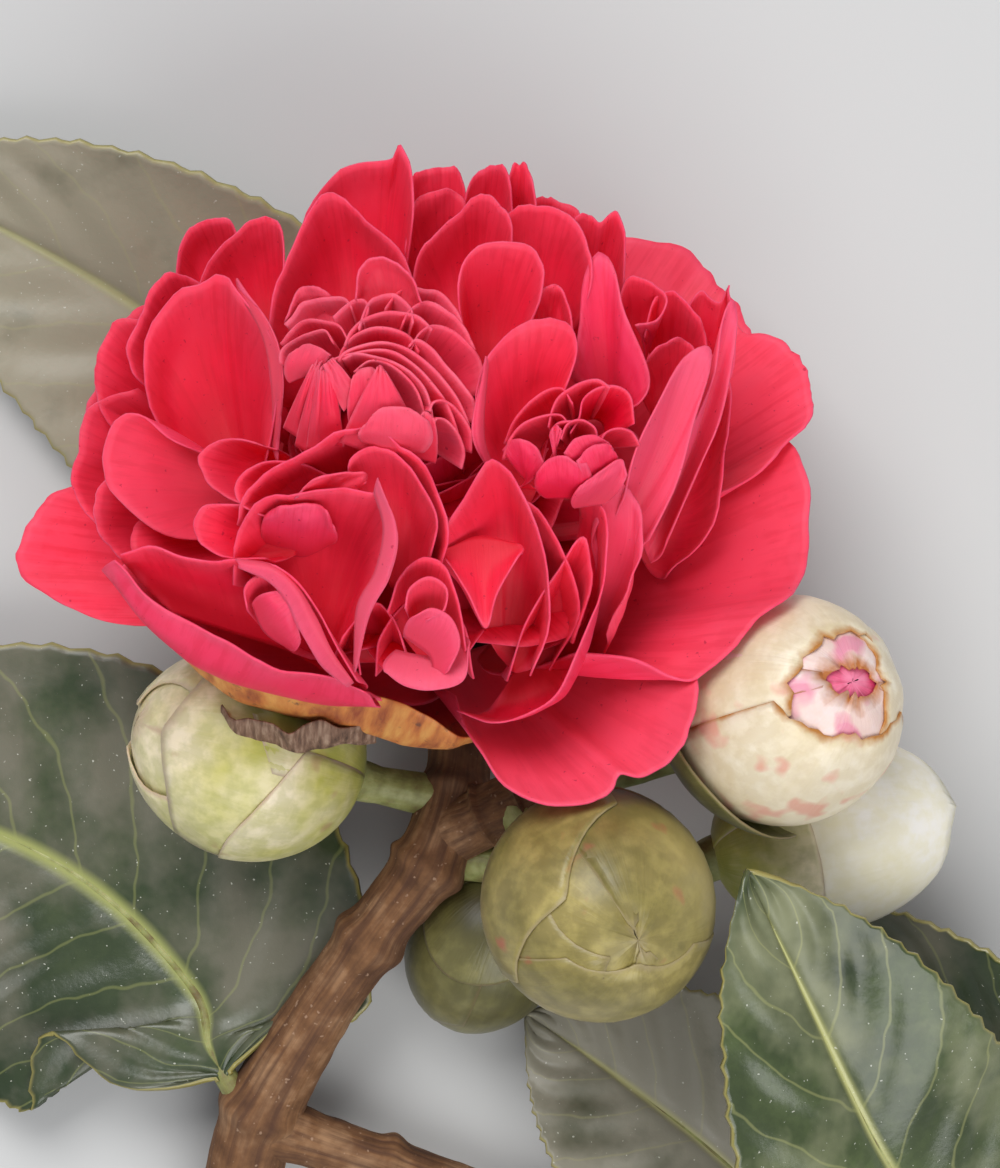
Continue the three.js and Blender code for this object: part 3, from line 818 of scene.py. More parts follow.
def petal(
    bm, base, tip, face, half_width, cup=(50, 25), bow=0.12, roll=0.06, hem=0.05, rounding=0.3, power=2.4,
    notch=0.0, claw=0.3, widest=0.62, ruffle=0.012, cells=(20, 24),
):
    """A petal from its base to its tip, in millimetres of the layout, whose hollow side looks towards face.

    Cup is how far its sides bend up at the base and at the tip, in degrees. Bow arches its middle towards
    the face, roll turns its tip back, hem turns its sides back, and ruffle waves its rim.
    """
    base, tip = spot(*base), spot(*tip)
    length = (tip - base).length
    up = (tip - base).normalized()
    face = Vector(face)
    face = (face - up * face.dot(up)).normalized()
    across = up.cross(face)
    half_width *= MM
    phase = petal_seeds.uniform(0, 6.28)
    waves = petal_seeds.uniform(1.0, 1.8)
    offset = Vector((petal_seeds.uniform(0, 50), petal_seeds.uniform(0, 50), 0))

    def shape(u, v):
        jag = 0.02 * noise.noise(Vector((u * 4, 0, 0)) + offset)
        reach = 1 - rounding * abs(u) ** power - notch * math.exp(-((u / 0.16) ** 2)) + jag
        share = v * reach
        swell = math.sin(math.pi / 2 * min(1, share / widest)) ** 0.9
        past = max(0, share - widest) / (1 - widest)
        width = half_width * (claw + (1 - claw) * swell) * (1 - 0.12 * past**2)
        bend = math.radians(cup[0] + (cup[1] - cup[0]) * share)
        if abs(bend) > 0.03:
            x = width * math.sin(u * bend) / bend
            z = width * (1 - math.cos(u * bend)) / bend
        else:
            x, z = u * width, 0
        y = share * length
        z += bow * length * 4 * share * (1 - share)
        tip_share = max(0, share - 0.7) / 0.3
        z -= roll * length * tip_share**2
        y -= 0.4 * roll * length * tip_share**3
        edge = max(0, abs(u) - 0.7) / 0.3
        z -= hem * half_width * 2 * edge**2 * min(1, 2 * share)
        rim = max(edge, tip_share)
        z += ruffle * length * share * math.sin(waves * math.pi * u + phase) * (0.25 + 0.75 * rim)
        z += 0.05 * length * share * noise.noise(Vector((u * 1.6, v * 2.2, 0)) + offset)
        return base + across * x + up * y + face * z

    patch(bm, cells[0], cells[1], shape)


# ---------------------------------------------------------------------------------------- outer petals
# Broad outer petals stand round the back of the bloom like a saucer. They grow from the end of the stem,
# each on a narrow foot, and their rims are uneven and turned.

def blade(
    bm, foot, rim, bulge=(0, 0, 0), tone=0.08, roll=0.25, foot_width=2.4, wander=1.2, swell=0.08,
    front=None, cells=(30, 18),
):
    """A petal that runs from its foot to its rim, both lines of points in millimetres of the layout.

    The middle bulges by the given millimetres, and the hollow side, or the one that looks to the front,
    is the petal's face. A foot of one point is spread to the foot's width. Roll turns the rim towards the
    bulge, wander is how uneven the surface is, and swell is how far the sides bow out, as a share of the
    rim.
    """
    bulge = Vector(bulge)
    first, last = Vector(rim[0]), Vector(rim[-1])
    if len(foot) == 1:
        spread = (last - first).normalized() * foot_width / 2
        foot = [Vector(foot[0]) - spread, Vector(foot[0]) + spread]
    hollow = Vector(front) if front else Vector((0, 0, 1)) if bulge.length < 0.01 else -bulge
    middle_foot = (Vector(foot[0]) + Vector(foot[-1])) / 2
    if (last - first).cross(Vector(rim[len(rim) // 2]) - middle_foot).dot(hollow) < 0:
        foot, rim = foot[::-1], rim[::-1]
    foot_line = smooth_line([spot(*p) for p in foot])
    rim_line = smooth_line([spot(*p) for p in rim])
    offset = Vector((petal_seeds.uniform(0, 50), petal_seeds.uniform(0, 50), petal_seeds.uniform(0, 50)))

    def shape(u, v):
        share = (u + 1) / 2
        jag = noise.noise(Vector((u * 5, 0, 0)) + offset) * wander
        low, high = foot_line(share), rim_line(share)
        reach = v * (1 + 0.02 * jag + 0.008 * wander * noise.noise(Vector((u * 13, 5, 0)) + offset))
        belly = math.sin(math.pi * min(1, v) ** 1.15) * (1 - 0.55 * u * u)
        turned = max(0, v - 0.82) / 0.18
        uneven = noise.noise(Vector((u * 1.7, v * 2.4, 0)) + offset)
        uneven += 0.3 * noise.noise(Vector((u * 4.4, v * 4.8, 3)) + offset)
        uneven *= wander * v * MM
        push = bulge * MM * belly + bulge.normalized() * (roll * turned**2 * MM + uneven)
        push += (rim_line(1) - rim_line(0)) * swell * u * abs(u) * math.sin(math.pi * min(1, v) ** 0.8)
        return low.lerp(high, reach) + push + Vector((0, 0, 0.25 * jag * v * MM))

    patch(bm, cells[0], cells[1], shape, tone=tone)


SKY = (0, 0, 1)
outer = {
    # the bottom petal's tone is painted light, lifting it towards pink where it lies in the bloom's shade
    "petal_bottom": dict(
        foot=[(-3, -7, 26)], foot_width=8,
        rim=[(-4.8, -11, 37), (-3.8, -14, 41), (-2, -16.7, 44), (0.2, -19.8, 46), (4.4, -21.6, 47),
             (8.7, -21.8, 47), (11, -20.8, 46.6), (11.9, -18.8, 46.5), (14.4, -19, 46.4),
             (16.8, -17.4, 46.8), (18.8, -14.2, 47.4), (20, -9.4, 46.6), (16.6, -4, 33)],
        bulge=(0.5, -1, 1.6), front=SKY, roll=0.8, tone=0.25,
    ),
    "petal_behind": dict(
        foot=[(-3, 3, 17)], foot_width=8,
        rim=[(-9, 26, 6), (-5, 32, 4), (0, 35.5, 3), (6, 36.5, 3), (12, 34.5, 4), (16.5, 30, 6),
             (17, 23, 9)], bulge=(0, 0, -1.5), front=SKY, swell=0.2,
    ),
    "petal_left": dict(
        foot=[(-9, -1, 21)], foot_width=9,
        rim=[(-36, 13, 28), (-40.4, 12, 30), (-43.8, 10.6, 31), (-47, 9, 31.5), (-49.6, 6, 32),
             (-50.2, 2.6, 32), (-48, -0.8, 31), (-44, -2.8, 30), (-39.6, -4.2, 29), (-35.6, -3.9, 28),
             (-28, -4, 26)], bulge=(0, 0, 2.4), front=SKY, roll=0.8, tone=0,
    ),
    "petal_lower_right": dict(
        foot=[(0, -5, 27)], foot_width=8,
        rim=[(26.2, 16.4, 30.6), (29.6, 15.4, 33.4), (31, 11, 36), (31, 5.6, 38), (30.4, 0.6, 41.5),
             (28.9, -1.2, 44.5), (26.3, -3, 46.4), (23.5, -6.2, 47), (20, -9.4, 47), (17.6, -9.4, 47),
             (13.2, -7.4, 46.4), (7.6, -6.6, 45)], bulge=(0.5, -0.5, 2.2), front=SKY, roll=0.8,
    ),
    "petal_upper_right": dict(
        foot=[(-1, 1, 20)], foot_width=8,
        rim=[(6, 36, 16), (12.8, 37, 17), (19, 35.6, 17), (23.2, 32.7, 17.4), (25.4, 29.4, 18),
             (27, 25, 20), (27.6, 19, 22)], bulge=(0, 0, -1.4), front=SKY, swell=0.16,
    ),
    "petal_behind_left": dict(
        foot=[(-8, 3, 18)], foot_width=8,
        rim=[(-28, 20, 14), (-29, 26, 12), (-25.5, 31.6, 10.5), (-19, 35, 9.5), (-12, 36, 9),
             (-6.5, 34, 9), (-4, 28, 10)], bulge=(0, 0, -1.5), front=SKY, swell=0.2,
    ),
    "petal_right": dict(
        foot=[(0, 0, 24)], foot_width=8,
        rim=[(22.6, 29, 29), (25.3, 26.6, 31), (28.4, 25.2, 32), (31.1, 23, 33), (32.2, 19.8, 34),
             (31.6, 16.6, 35), (29.6, 14.6, 36.4), (26, 11, 36.5), (19, 8, 34)], bulge=(0.4, 0.2, 1.4),
        front=SKY, roll=0.7,
    ),
    "petal_upper_left": dict(
        foot=[(-9, 2, 22)], foot_width=8,
        rim=[(-37, 10, 30), (-41.5, 13.6, 32), (-42.6, 18.6, 33), (-41.4, 24, 33), (-37.6, 28.6, 32),
             (-32, 30.4, 30), (-26, 29, 28)], bulge=(-1, 1, -4),
    ),
    "petal_lower_left": dict(
        foot=[(-9, -8, 28)], foot_width=8,
        rim=[(-36, 3, 42), (-38.2, 1.6, 45), (-36, -2.6, 45.6), (-31.6, -5.8, 45.6), (-26, -8.3, 45.6),
             (-20, -9.6, 45.6), (-13, -10.6, 45)], bulge=(-2, -2.5, -3.5),
    ),
}
for name, given in outer.items():
    bm = bmesh.new()
    blade(bm, cells=(60, 44), **{"tone": 0.12, **given})
    finished(bm, name + "_blade", [petal_guard_painted_light, petal_back], [name], PETAL_THICKNESS * 1.3, 1)

# ---------------------------------------------------------------------------------------- inner petals
# The heart of the bloom is crowded with petals of every size, folded, cupped and rolled against each other.
# Two tight whorls of small petals sit among them: the main one, and a side one that never opened flat.

AXIS = Vector((-0.1, 0.665, 0.74)).normalized()
HEART = Vector((-8.7, 15, 40))

# a dark red core fills the bottom of the bloom, where the petals' feet meet; its dark red, matched to the
# petals' hollows, is painted shade for the deep of the bloom seen between them
depths, tree, principled = shader("petal_depths", Roughness=0.8, Specular_IOR_Level=0.1)
objectwise = node(tree, "TexCoord").outputs["Object"]
colour = ramp(tree, grain(tree, objectwise, 300), [(0.3, (0.4, 0.0, 0.01)), (0.7, (0.6, 0.0, 0.02))])
tree.links.new(colour, principled.inputs["Base Color"])


far_row = [
    dict(
        foot=[(-27, 24, 34)],
        rim=[(-33.4, 29.6, 37), (-32.8, 35, 38), (-30.4, 37.6, 38), (-27.6, 37.2, 38.5), (-26.4, 33, 38)],
        bulge=(0, 1, -2),
    ),
    dict(
        foot=[(-23, 22, 38)],
        rim=[(-31, 30, 40), (-29.4, 33.6, 41), (-26, 36.4, 41.5), (-23.9, 37.2, 42), (-22.2, 35.6, 43),
             (-22, 31, 44), (-22.6, 26, 44)], bulge=(0, 1.6, -2.5),
    ),
    dict(
        foot=[(-13, 24, 38)],
        rim=[(-21, 33, 40), (-19.9, 37.4, 41), (-16.7, 41.7, 42), (-13.4, 42.8, 42.5), (-11.2, 43.2, 43),
             (-10.2, 44.6, 44), (-9.1, 42.6, 44.5), (-8.8, 38, 44.5), (-9.4, 33, 43)], bulge=(0, 2, -2.5),
    ),
    dict(
        foot=[(-6, 27, 36)],
        rim=[(-9.5, 37, 38), (-8.9, 41.8, 38.5), (-6.6, 42.6, 38.5), (-4, 41.8, 38.5), (-3.3, 37, 38)],
        bulge=(0, 1.5, -2),
    ),
    dict(
        foot=[(-6, 26, 38)],
        rim=[(-9.7, 34, 41.5), (-8.9, 38.8, 42), (-6.2, 39.8, 42), (-3.5, 38.4, 42), (-3.2, 33, 41)],
        bulge=(0, 1.2, -2), tone=0.1,
    ),
    dict(
        foot=[(-1, 28, 37)],
        rim=[(-4, 36, 39), (-3.4, 39.6, 40), (-1.9, 42.3, 40.5), (-0.3, 42.9, 41), (0.9, 41.2, 42),
             (1.4, 36.5, 42)], bulge=(-0.3, 1.5, -2),
    ),
    dict(
        foot=[(2, 28, 36)],
        rim=[(0.6, 38, 39), (1.1, 42, 40), (2.4, 42.7, 40.5), (3.5, 40.2, 41), (3.9, 35.5, 41)],
        bulge=(0, 1, -2),
    ),
    dict(
        foot=[(4, 26, 33)],
        rim=[(2, 36, 35), (3.7, 39.9, 35.5), (5.8, 39.6, 36), (8.2, 38, 37), (9.4, 33, 37)],
        bulge=(0, 1.5, -2),
    ),
    dict(
        foot=[(9, 24, 36)],
        rim=[(7, 33, 40), (7.5, 37, 41), (9.1, 38, 41), (10.2, 36.7, 41.5), (11.7, 38, 41),
             (12.7, 36, 41), (12.6, 30, 40.5)], bulge=(0, 1, -2),
    ),
    dict(
        foot=[(3, 21, 42)],
        rim=[(-1.6, 30, 43.4), (-0.6, 35.6, 44), (1.6, 38, 45.4), (4.2, 38.2, 46), (6.5, 37.3, 46.5),
             (8.4, 35.2, 47), (9.3, 31.6, 47.5), (8.4, 27, 47)], bulge=(0, 2.2, -3),
    ),
    dict(
        foot=[(-3, 22, 43)],
        rim=[(-8.8, 27, 46), (-8.6, 32, 46.5), (-6.7, 34.9, 46.5), (-4.1, 37.5, 46.5), (-1.9, 39.2, 46.5),
             (-0.1, 38.4, 47), (1.2, 36.4, 47.5), (0.8, 30, 47)], bulge=(0, 2.2, -3),
    ),
    dict(
        foot=[(-15, 19, 43)],
        rim=[(-22.8, 17, 48), (-23.4, 24, 49), (-22.6, 29.6, 48.6), (-20.6, 34.4, 48), (-18, 38.8, 47),
             (-15.8, 38.4, 47), (-13.2, 36.1, 47.5), (-10, 33.7, 48.5), (-8.2, 28, 48)],
        bulge=(0, 2.5, -3.4),
    ),
    dict(
        foot=[(-1.5, 19.5, 46)],
        rim=[(-3, 23, 50), (-4.1, 28, 51), (-3.9, 31.8, 51), (-2.2, 33.8, 51), (0.6, 34.5, 51),
             (2.9, 33.8, 51), (4.3, 31.8, 51.5), (4.1, 28.8, 52), (2.8, 25.5, 52), (1.4, 22, 51.5)],
        bulge=(0, 1.2, -2),
    ),
    dict(
        foot=[(4.5, 22, 48)],
        rim=[(3.2, 26.5, 50.5), (3.9, 29.2, 50.5), (5.4, 30, 50.5), (6.8, 28.2, 51), (7.4, 25, 51)],
        bulge=(0, 0.8, -1.2),
    ),
    dict(
        foot=[(14, 22, 41)],
        rim=[(11.6, 26, 45), (12.6, 30.6, 46), (15, 30.4, 46.5), (16.8, 28.8, 46.5), (15.8, 26.6, 47),
             (13.6, 26, 47)], bulge=(0.3, 0.6, -1.5),
    ),
    dict(
        foot=[(17, 19, 40)],
        rim=[(14.6, 25, 45), (15.6, 28.8, 45.5), (17.7, 29.2, 46), (19.9, 27.2, 46.5), (20.7, 24, 46),
             (19.8, 19, 45)], bulge=(0.6, 0.6, -2),
    ),
    dict(
        foot=[(17, 16, 42)],
        rim=[(14, 19.5, 46), (14.7, 22.4, 47), (16.4, 24.2, 47.5), (18.5, 24.4, 47.5), (19.8, 22.4, 47.5),
             (19.2, 17.5, 46.5)], bulge=(0.3, 0.6, -1.8),
    ),
    dict(
        foot=[(19, 20, 36)],
        rim=[(18, 26, 42), (19.8, 29.6, 42.5), (22, 28.7, 43), (23.2, 30.2, 43.5), (23.7, 27, 43),
             (23, 21, 42)], bulge=(1, 0.3, -1),
    ),
    dict(
        foot=[(11.5, 17.5, 45)],
        rim=[(7, 21, 46), (7.9, 25.6, 46.5), (8.4, 30.6, 46.5), (9.9, 33.6, 46.5), (11.5, 31.9, 47),
             (12.5, 27.5, 48), (14.4, 23.2, 49), (15.1, 20.2, 49.5), (14, 18.2, 49.5), (12.6, 17.6, 48.5)],
        bulge=(0, 0, 1.4),
    ),
]

left_side = [
    dict(
        foot=[(-27, 8, 34)],
        rim=[(-36, 2.4, 40), (-41, 5.8, 41), (-43.8, 10.2, 41), (-43.2, 13.6, 41), (-42, 18, 41),
             (-37, 20, 40)], bulge=(-1, 0, -2.5), tone=0.1,
    ),
    dict(
        foot=[(-27, 13, 36)],
        rim=[(-35, 12, 40), (-39.9, 16.6, 40.5), (-41.2, 21.8, 41), (-39, 26.6, 41), (-34.6, 27, 40.5)],
        bulge=(-1, 0.5, -2.5),
    ),
    dict(
        foot=[(-27, 17, 36)],
        rim=[(-33.6, 18.4, 39.6), (-37.4, 21.6, 43), (-37, 26.4, 43.5), (-33.8, 31.6, 43.5),
             (-29.6, 30, 43)], bulge=(-1, 1, -2),
    ),
    dict(
        foot=[(-26, 6, 36)],
        rim=[(-32, -0.6, 43), (-38.2, 2.6, 44), (-41, 6.6, 44.5), (-39.6, 11, 44), (-34, 13, 43)],
        bulge=(-0.6, 0, -2),
    ),
    dict(
        foot=[(-25.5, 9, 41)],
        rim=[(-32, 12, 43), (-35.6, 18, 44), (-35.9, 24.4, 45), (-33, 29.2, 46), (-30.6, 30.6, 46.5),
             (-28, 31.4, 47.5), (-26.4, 29.2, 49), (-23.9, 26.4, 50.5), (-22.2, 22.4, 51.5),
             (-22.6, 17, 51), (-23.6, 12, 49.5)], bulge=(-1, 1.5, -4),
    ),
    dict(
        foot=[(-26.4, 29.4, 48.8), (-23.9, 25, 50.4), (-22.9, 20, 51.2), (-22.8, 13.6, 49.8)],
        rim=[(-26.4, 29.6, 49), (-23.2, 26, 51), (-21.8, 20.6, 52), (-22.8, 13.4, 50)],
        bulge=(0.5, 0, 0.3), tone=0.35, cells=(30, 8), wander=0.2,
    ),
    dict(
        foot=[(-24, 5, 42)],
        rim=[(-29, 0.6, 46), (-34, 0.6, 46.5), (-37, 3, 46.5), (-36.6, 6.4, 44.4), (-31, 8, 42)],
        bulge=(0, 0, -1.5),
    ),
    dict(
        foot=[(-25, 9.5, 43)],
        rim=[(-28.6, 4.2, 46), (-33.6, 4.8, 47.5), (-37.4, 7.2, 48.5), (-39.8, 10.4, 49),
             (-39.9, 13.6, 49), (-38.3, 16.8, 48.8), (-36, 16.9, 48.4), (-33.4, 14.6, 47.4),
             (-29, 12.6, 46)], bulge=(0, 0.3, -1.6), tone=0.22,
    ),
    dict(
        foot=[(-20, 10, 46)],
        rim=[(-23, 7, 52), (-28, 9, 51), (-30.4, 12.4, 50), (-27.4, 14.6, 50), (-22.6, 13.6, 51)],
        bulge=(0, 0, -1.6),
    ),
    dict(
        foot=[(-20, 4, 50)],
        rim=[(-23.5, 2.6, 53), (-27.6, 2.8, 53.4), (-30.4, 4.8, 53.6), (-29.6, 7.6, 53.6), (-26, 8, 54),
             (-21, 7.4, 54)], bulge=(0, -0.3, -1.4), tone=0.06,
    ),
    dict(
        foot=[(-19, 7.5, 52)],
        rim=[(-21.5, 6, 55), (-25.6, 7.8, 55.4), (-26.2, 10.2, 55.6), (-23.6, 12, 56), (-20, 12, 56.6),
             (-17, 10.6, 57)], bulge=(0, 0.2, -1.4), tone=0.1,
    ),
]

near_side = [
    # the great hood over the middle, the oval petal inside it, and the arch before it with its ribbon rim
    dict(
        foot=[(-14, -3, 46)],
        rim=[(-26.2, 6, 54), (-25.4, 8.8, 56), (-22.8, 11.2, 57.5), (-19.2, 12.8, 59), (-16, 14.9, 60.5),
             (-12.3, 15.3, 61), (-8.8, 13.1, 60.5), (-6.6, 9.7, 59), (-5.1, 5.6, 57), (-6, 1.6, 54)],
        bulge=(0, 3, -4),
    ),
    dict(
        foot=[(-10, -1, 50)],
        rim=[(-13.8, 7.4, 56), (-15, 11.6, 59.4), (-12.9, 13.3, 60.4), (-9.8, 12.4, 60.2),
             (-7.6, 9.7, 59.2), (-6.2, 6.2, 57.6), (-7, 2.4, 55)], bulge=(0, 2, -2.5), tone=0.12,
    ),
    dict(
        foot=[(-18, -7, 46)],
        rim=[(-26.8, 0, 52), (-26.3, 4.6, 55), (-23.8, 7.9, 57.2), (-20.7, 8.7, 58.7), (-16.8, 9.3, 60.2),
             (-13.4, 9, 61), (-11.5, 8.3, 61), (-11, 5.2, 60), (-11.6, 1.4, 58), (-13.4, -2, 56),
             (-14.2, -6, 53), (-14, -9.4, 50)], bulge=(0, 2.5, -4),
    ),
    dict(
        foot=[(-12.4, 9, 61.2), (-11.5, 5.4, 60), (-12.4, 1.2, 57.8), (-14.2, -2.2, 55.6),
              (-14.6, -7.4, 51.6)],
        rim=[(-12.2, 9.2, 61.3), (-10.2, 5.2, 60.6), (-10.9, 1, 58.6), (-12.8, -2.6, 56.2),
             (-14.4, -7.6, 51.8)], bulge=(0.4, 0, 0.6), tone=0.5, cells=(34, 8), wander=0.3,
    ),
    dict(
        foot=[(-23.6, 4, 50), (-20, 2.5, 48), (-17, 4, 49)],
        rim=[(-23, 7.2, 56.2), (-20.6, 7.9, 57.6), (-17.6, 7.7, 58.2), (-16.4, 5.6, 56.2)],
        bulge=(0, 0, 1.2), front=(0, 0, -1), tone=0.12, wander=1.8,
    ),
    dict(
        foot=[(-20, 8.4, 56), (-15.6, 8.6, 57.6)],
        rim=[(-20, 8.6, 58.4), (-18.6, 10.2, 59.4), (-16, 10.9, 60), (-13.4, 11, 60.2), (-13.2, 10, 60)],
        bulge=(0, 0, -0.4), tone=0.3,
    ),
    # the swirl on the left and the lip that wraps it
    dict(
        foot=[(-33, -3, 45.5), (-27, -5, 44.5), (-21, -7, 45), (-16, -10, 46)],
        rim=[(-38, 2.8, 51.5), (-34.8, 3.6, 52.4), (-32, 2.6, 52.8), (-29, 2, 53.2), (-26.4, 2.5, 53.8),
             (-22.8, 2, 54.6), (-20.2, 0.3, 54.8), (-18, -3, 54), (-16.4, -6.2, 52.6), (-14.4, -9.8, 50.5)],
        bulge=(0, 1, -2), tone=0.06, cells=(40, 20),
    ),
    dict(
        foot=[(-26.4, 2.5, 54), (-22.8, 1.9, 54.8), (-20.3, -0.1, 54.9), (-18.3, -3.3, 54.1),
              (-16.8, -6.6, 52.7), (-14.7, -9.9, 50.6)],
        rim=[(-26.2, 1.5, 54), (-23.4, 0.3, 54.4), (-21.5, -1.7, 54.2), (-20.1, -4.9, 53.2),
             (-18.2, -8, 51.6), (-15.4, -10.4, 50)], bulge=(0.4, 0.3, 0.7), tone=0.4, wander=0.4, swell=0,
        cells=(34, 8),
    ),
    dict(
        foot=[(-23, -4, 48)],
        rim=[(-25.3, -2.4, 52.8), (-25.5, -0.6, 53.4), (-24.4, 0.5, 53.7), (-22.8, 0.5, 53.8),
             (-21.8, -0.5, 53.8), (-22.3, -1.8, 53.6)], bulge=(0, 0.3, 0), tone=0.15, wander=0.3,
    ),
    dict(
        foot=[(-24.8, -2, 52.2), (-23.6, -4.8, 51.2), (-21, -6.6, 50.2)],
        rim=[(-22.2, -0.7, 54), (-20.6, -2.2, 54), (-19.9, -5.6, 51.8)], bulge=(0, 0, 1),
        front=(0, 0, -1), tone=0.2, wander=0.4,
    ),
    dict(
        foot=[(-37, 0.5, 44), (-34, -4, 41.6), (-30, -7.2, 40), (-25.5, -9.2, 39.4), (-20, -10.2, 39.6),
              (-14, -10.6, 41)],
        rim=[(-38.3, 2.6, 51.6), (-34.8, -1.2, 51), (-30.4, -4, 51), (-25.8, -6.2, 51), (-21.2, -8, 50.8),
             (-16.6, -9.4, 50), (-13.4, -10.6, 49)], bulge=(-1, -2.4, 0.6), tone=0.08, roll=0.6,
        cells=(40, 20),
    ),
    dict(
        foot=[(-12, -8, 42)],
        rim=[(-17.4, -9.8, 47), (-15.6, -5, 51), (-12.6, -2.4, 53), (-10.2, -4.8, 52), (-8.4, -10.2, 49)],
        bulge=(0, 1.5, -2.5),
    ),
    dict(
        foot=[(-8, -8, 42)],
        rim=[(-12.6, -9.8, 47), (-12, -5.4, 50), (-9, -2, 52), (-4, -4, 52), (-2.6, -9.8, 48)],
        bulge=(0, 1.5, -2.5),
    ),
    # the tall folded ridge, its small pale-edged petal, and the curled cluster before it
    dict(
        foot=[(0.5, -8, 44)],
        rim=[(-6.4, 1.4, 53), (-5.6, 4.4, 55.4), (-3.9, 7.6, 57.8), (-1.5, 11.3, 59.6), (0.6, 10.8, 59.2),
             (2.2, 8.7, 58.2), (3.6, 5.2, 56.7), (4.7, 0.4, 54.6), (4.8, -4.8, 52), (3, -9.4, 49.5)],
        bulge=(0.5, 3, -3),
    ),
    dict(
        foot=[(-5.2, 3.6, 53.4), (-2, 4.8, 52.6), (1.8, 4, 52.6)],
        rim=[(-5.3, 2.4, 54.6), (-3.2, -1, 55.6), (-1.4, -4.4, 56), (-0.3, -1, 55.8), (1.8, 2.8, 54.8)],
        bulge=(0, 0, -0.8), tone=0.12, wander=0.2,
    ),
    dict(
        foot=[(1, -7, 40)], foot_width=6,
        rim=[(-6.4, -2, 47), (-6, 4, 50), (-2, 8.4, 52.6), (3, 8, 52.4), (6.4, 3, 51), (8, -3, 49),
             (5, -9, 46)], bulge=(0, 1.5, -3),
    ),
    dict(
        foot=[(2, -8, 42)], foot_width=4,
        rim=[(0.6, -10, 46), (2.6, -4, 49.6), (5.8, 1.4, 51.4), (8.2, 4.6, 51.6), (9.2, 0, 50.4),
             (7.4, -6, 48.6)], bulge=(0.6, 0.5, -2),
    ),
    dict(
        foot=[(-7, -8, 47)],
        rim=[(-11.4, -2.4, 54.4), (-9.6, 1, 56), (-7.2, 2.6, 57), (-5.3, 1.4, 57.2), (-4.1, -2, 56),
             (-3.4, -6.6, 54)], bulge=(-0.5, 1, -1.5), tone=0.08,
    ),
    dict(
        foot=[(-7, -6, 48)],
        rim=[(-9.4, -2.4, 57), (-8.9, -0.4, 57.6), (-7, 0.7, 57.8), (-5.3, -0.4, 57.6),
             (-5.6, -2.6, 57.2), (-7.4, -3.6, 56.8)], bulge=(0, 0, 0), tone=0.2, wander=0.2,
    ),
    dict(
        foot=[(-9.6, -5.2, 54), (-8.2, -6.2, 54), (-7.2, -7, 54), (-6.8, -7.8, 53.8), (-6.8, -8.6, 53.4)],
        rim=[(-8.6, -3.2, 56.8), (-6.8, -2.4, 57.2), (-4.9, -3.4, 57), (-4.1, -6, 55.8),
             (-5.2, -8.6, 54.8)], bulge=(0.3, 0, 0.5), tone=0.3, cells=(22, 10), wander=0.2,
    ),
    dict(
        foot=[(-10.4, -6.6, 51.6), (-8.6, -7, 52.4), (-6.4, -7.2, 52.8), (-4.6, -6.4, 52.4),
              (-4.2, -5, 52)],
        rim=[(-11.6, -8.6, 53), (-9.4, -10, 54), (-6.6, -10.4, 54.5), (-3.6, -9.4, 54), (-3.2, -6.2, 53.6)],
        bulge=(0, -0.4, 0.6), tone=0.5, cells=(26, 8), wander=0.2,
    ),
    # the great shell on the near right, and the strips that stand behind it
    dict(
        foot=[(14, 6, 36)],
        rim=[(17.4, 1, 37.6), (21, 5, 41), (22.8, 12, 42), (23.4, 20, 42), (20, 26, 41)],
        bulge=(1.2, -0.4, -3),
    ),
    dict(
        foot=[(15, 3, 42)],
        rim=[(17, 5, 45), (19.8, 11.8, 46.2), (21.9, 16.6, 46.8), (23.1, 21.5, 46.8), (23.8, 27, 46.4),
             (23.2, 28.8, 46.8), (22.3, 26.4, 47.4), (21.6, 21.4, 48), (19.8, 17, 48.4),
             (17.2, 12.6, 48.4), (15.4, 8.4, 47.8)], bulge=(0.6, -0.2, 0.6), tone=0.3, wander=0.3,
    ),
    dict(
        foot=[(11, 3, 46)],
        rim=[(14.8, 4.5, 48), (17.8, 10.6, 49.4), (19.4, 16.6, 50.4), (20.9, 21.4, 50.6),
             (20.7, 23.8, 51), (18.4, 22.9, 51.6), (15.9, 18.6, 52.4), (13.5, 13.6, 52.8),
             (12.2, 8.6, 52.4)], bulge=(0.6, -0.2, 0.6), tone=0.36, wander=0.3,
    ),
    dict(
        foot=[(9, -6, 40)],
        rim=[(10.6, -5, 46), (12.7, -0.6, 49), (13.6, 3, 50.6), (14.1, 7.2, 51.7), (12.6, 9.8, 52.4),
             (10, 10.6, 52.8), (9.4, 6.6, 51.4)], bulge=(1.2, -0.6, 0.8), tone=0.28,
    ),
    dict(
        foot=[(3, -6, 42)], foot_width=6,
        rim=[(-4.6, -12.6, 46), (-1, -13.9, 48), (2.4, -13.1, 49.5), (5.5, -11.1, 50.5),
             (7.2, -7.8, 51.2), (9, -3.9, 52.2), (10.4, 1.2, 53.2), (10.1, 7.4, 53.8), (7.4, 11, 53)],
        bulge=(2, -1.6, -4), tone=0.05, roll=0.5, cells=(40, 24),
    ),
    # round the side whorl
    dict(
        foot=[(3, 8, 49)],
        rim=[(1.2, 8, 52), (-1.4, 12.6, 54.8), (-2.3, 17.2, 56), (-2, 20.4, 56.4), (-0.6, 22.8, 56.2),
             (1.9, 25.2, 55.6), (5, 26.4, 55.2), (7.3, 25.3, 55.2), (7.6, 22.2, 54.6), (6, 17.6, 53.4)],
        bulge=(-0.6, 1.8, -2.5),
    ),
    dict(
        foot=[(-0.4, 10.8, 54.3), (-1.6, 15, 56), (-1.2, 21.6, 56.8)],
        rim=[(-0.7, 10.8, 54.6), (-2.8, 15, 56.4), (-1.5, 21.8, 57)], bulge=(0, 0, 0.5), tone=0.3,
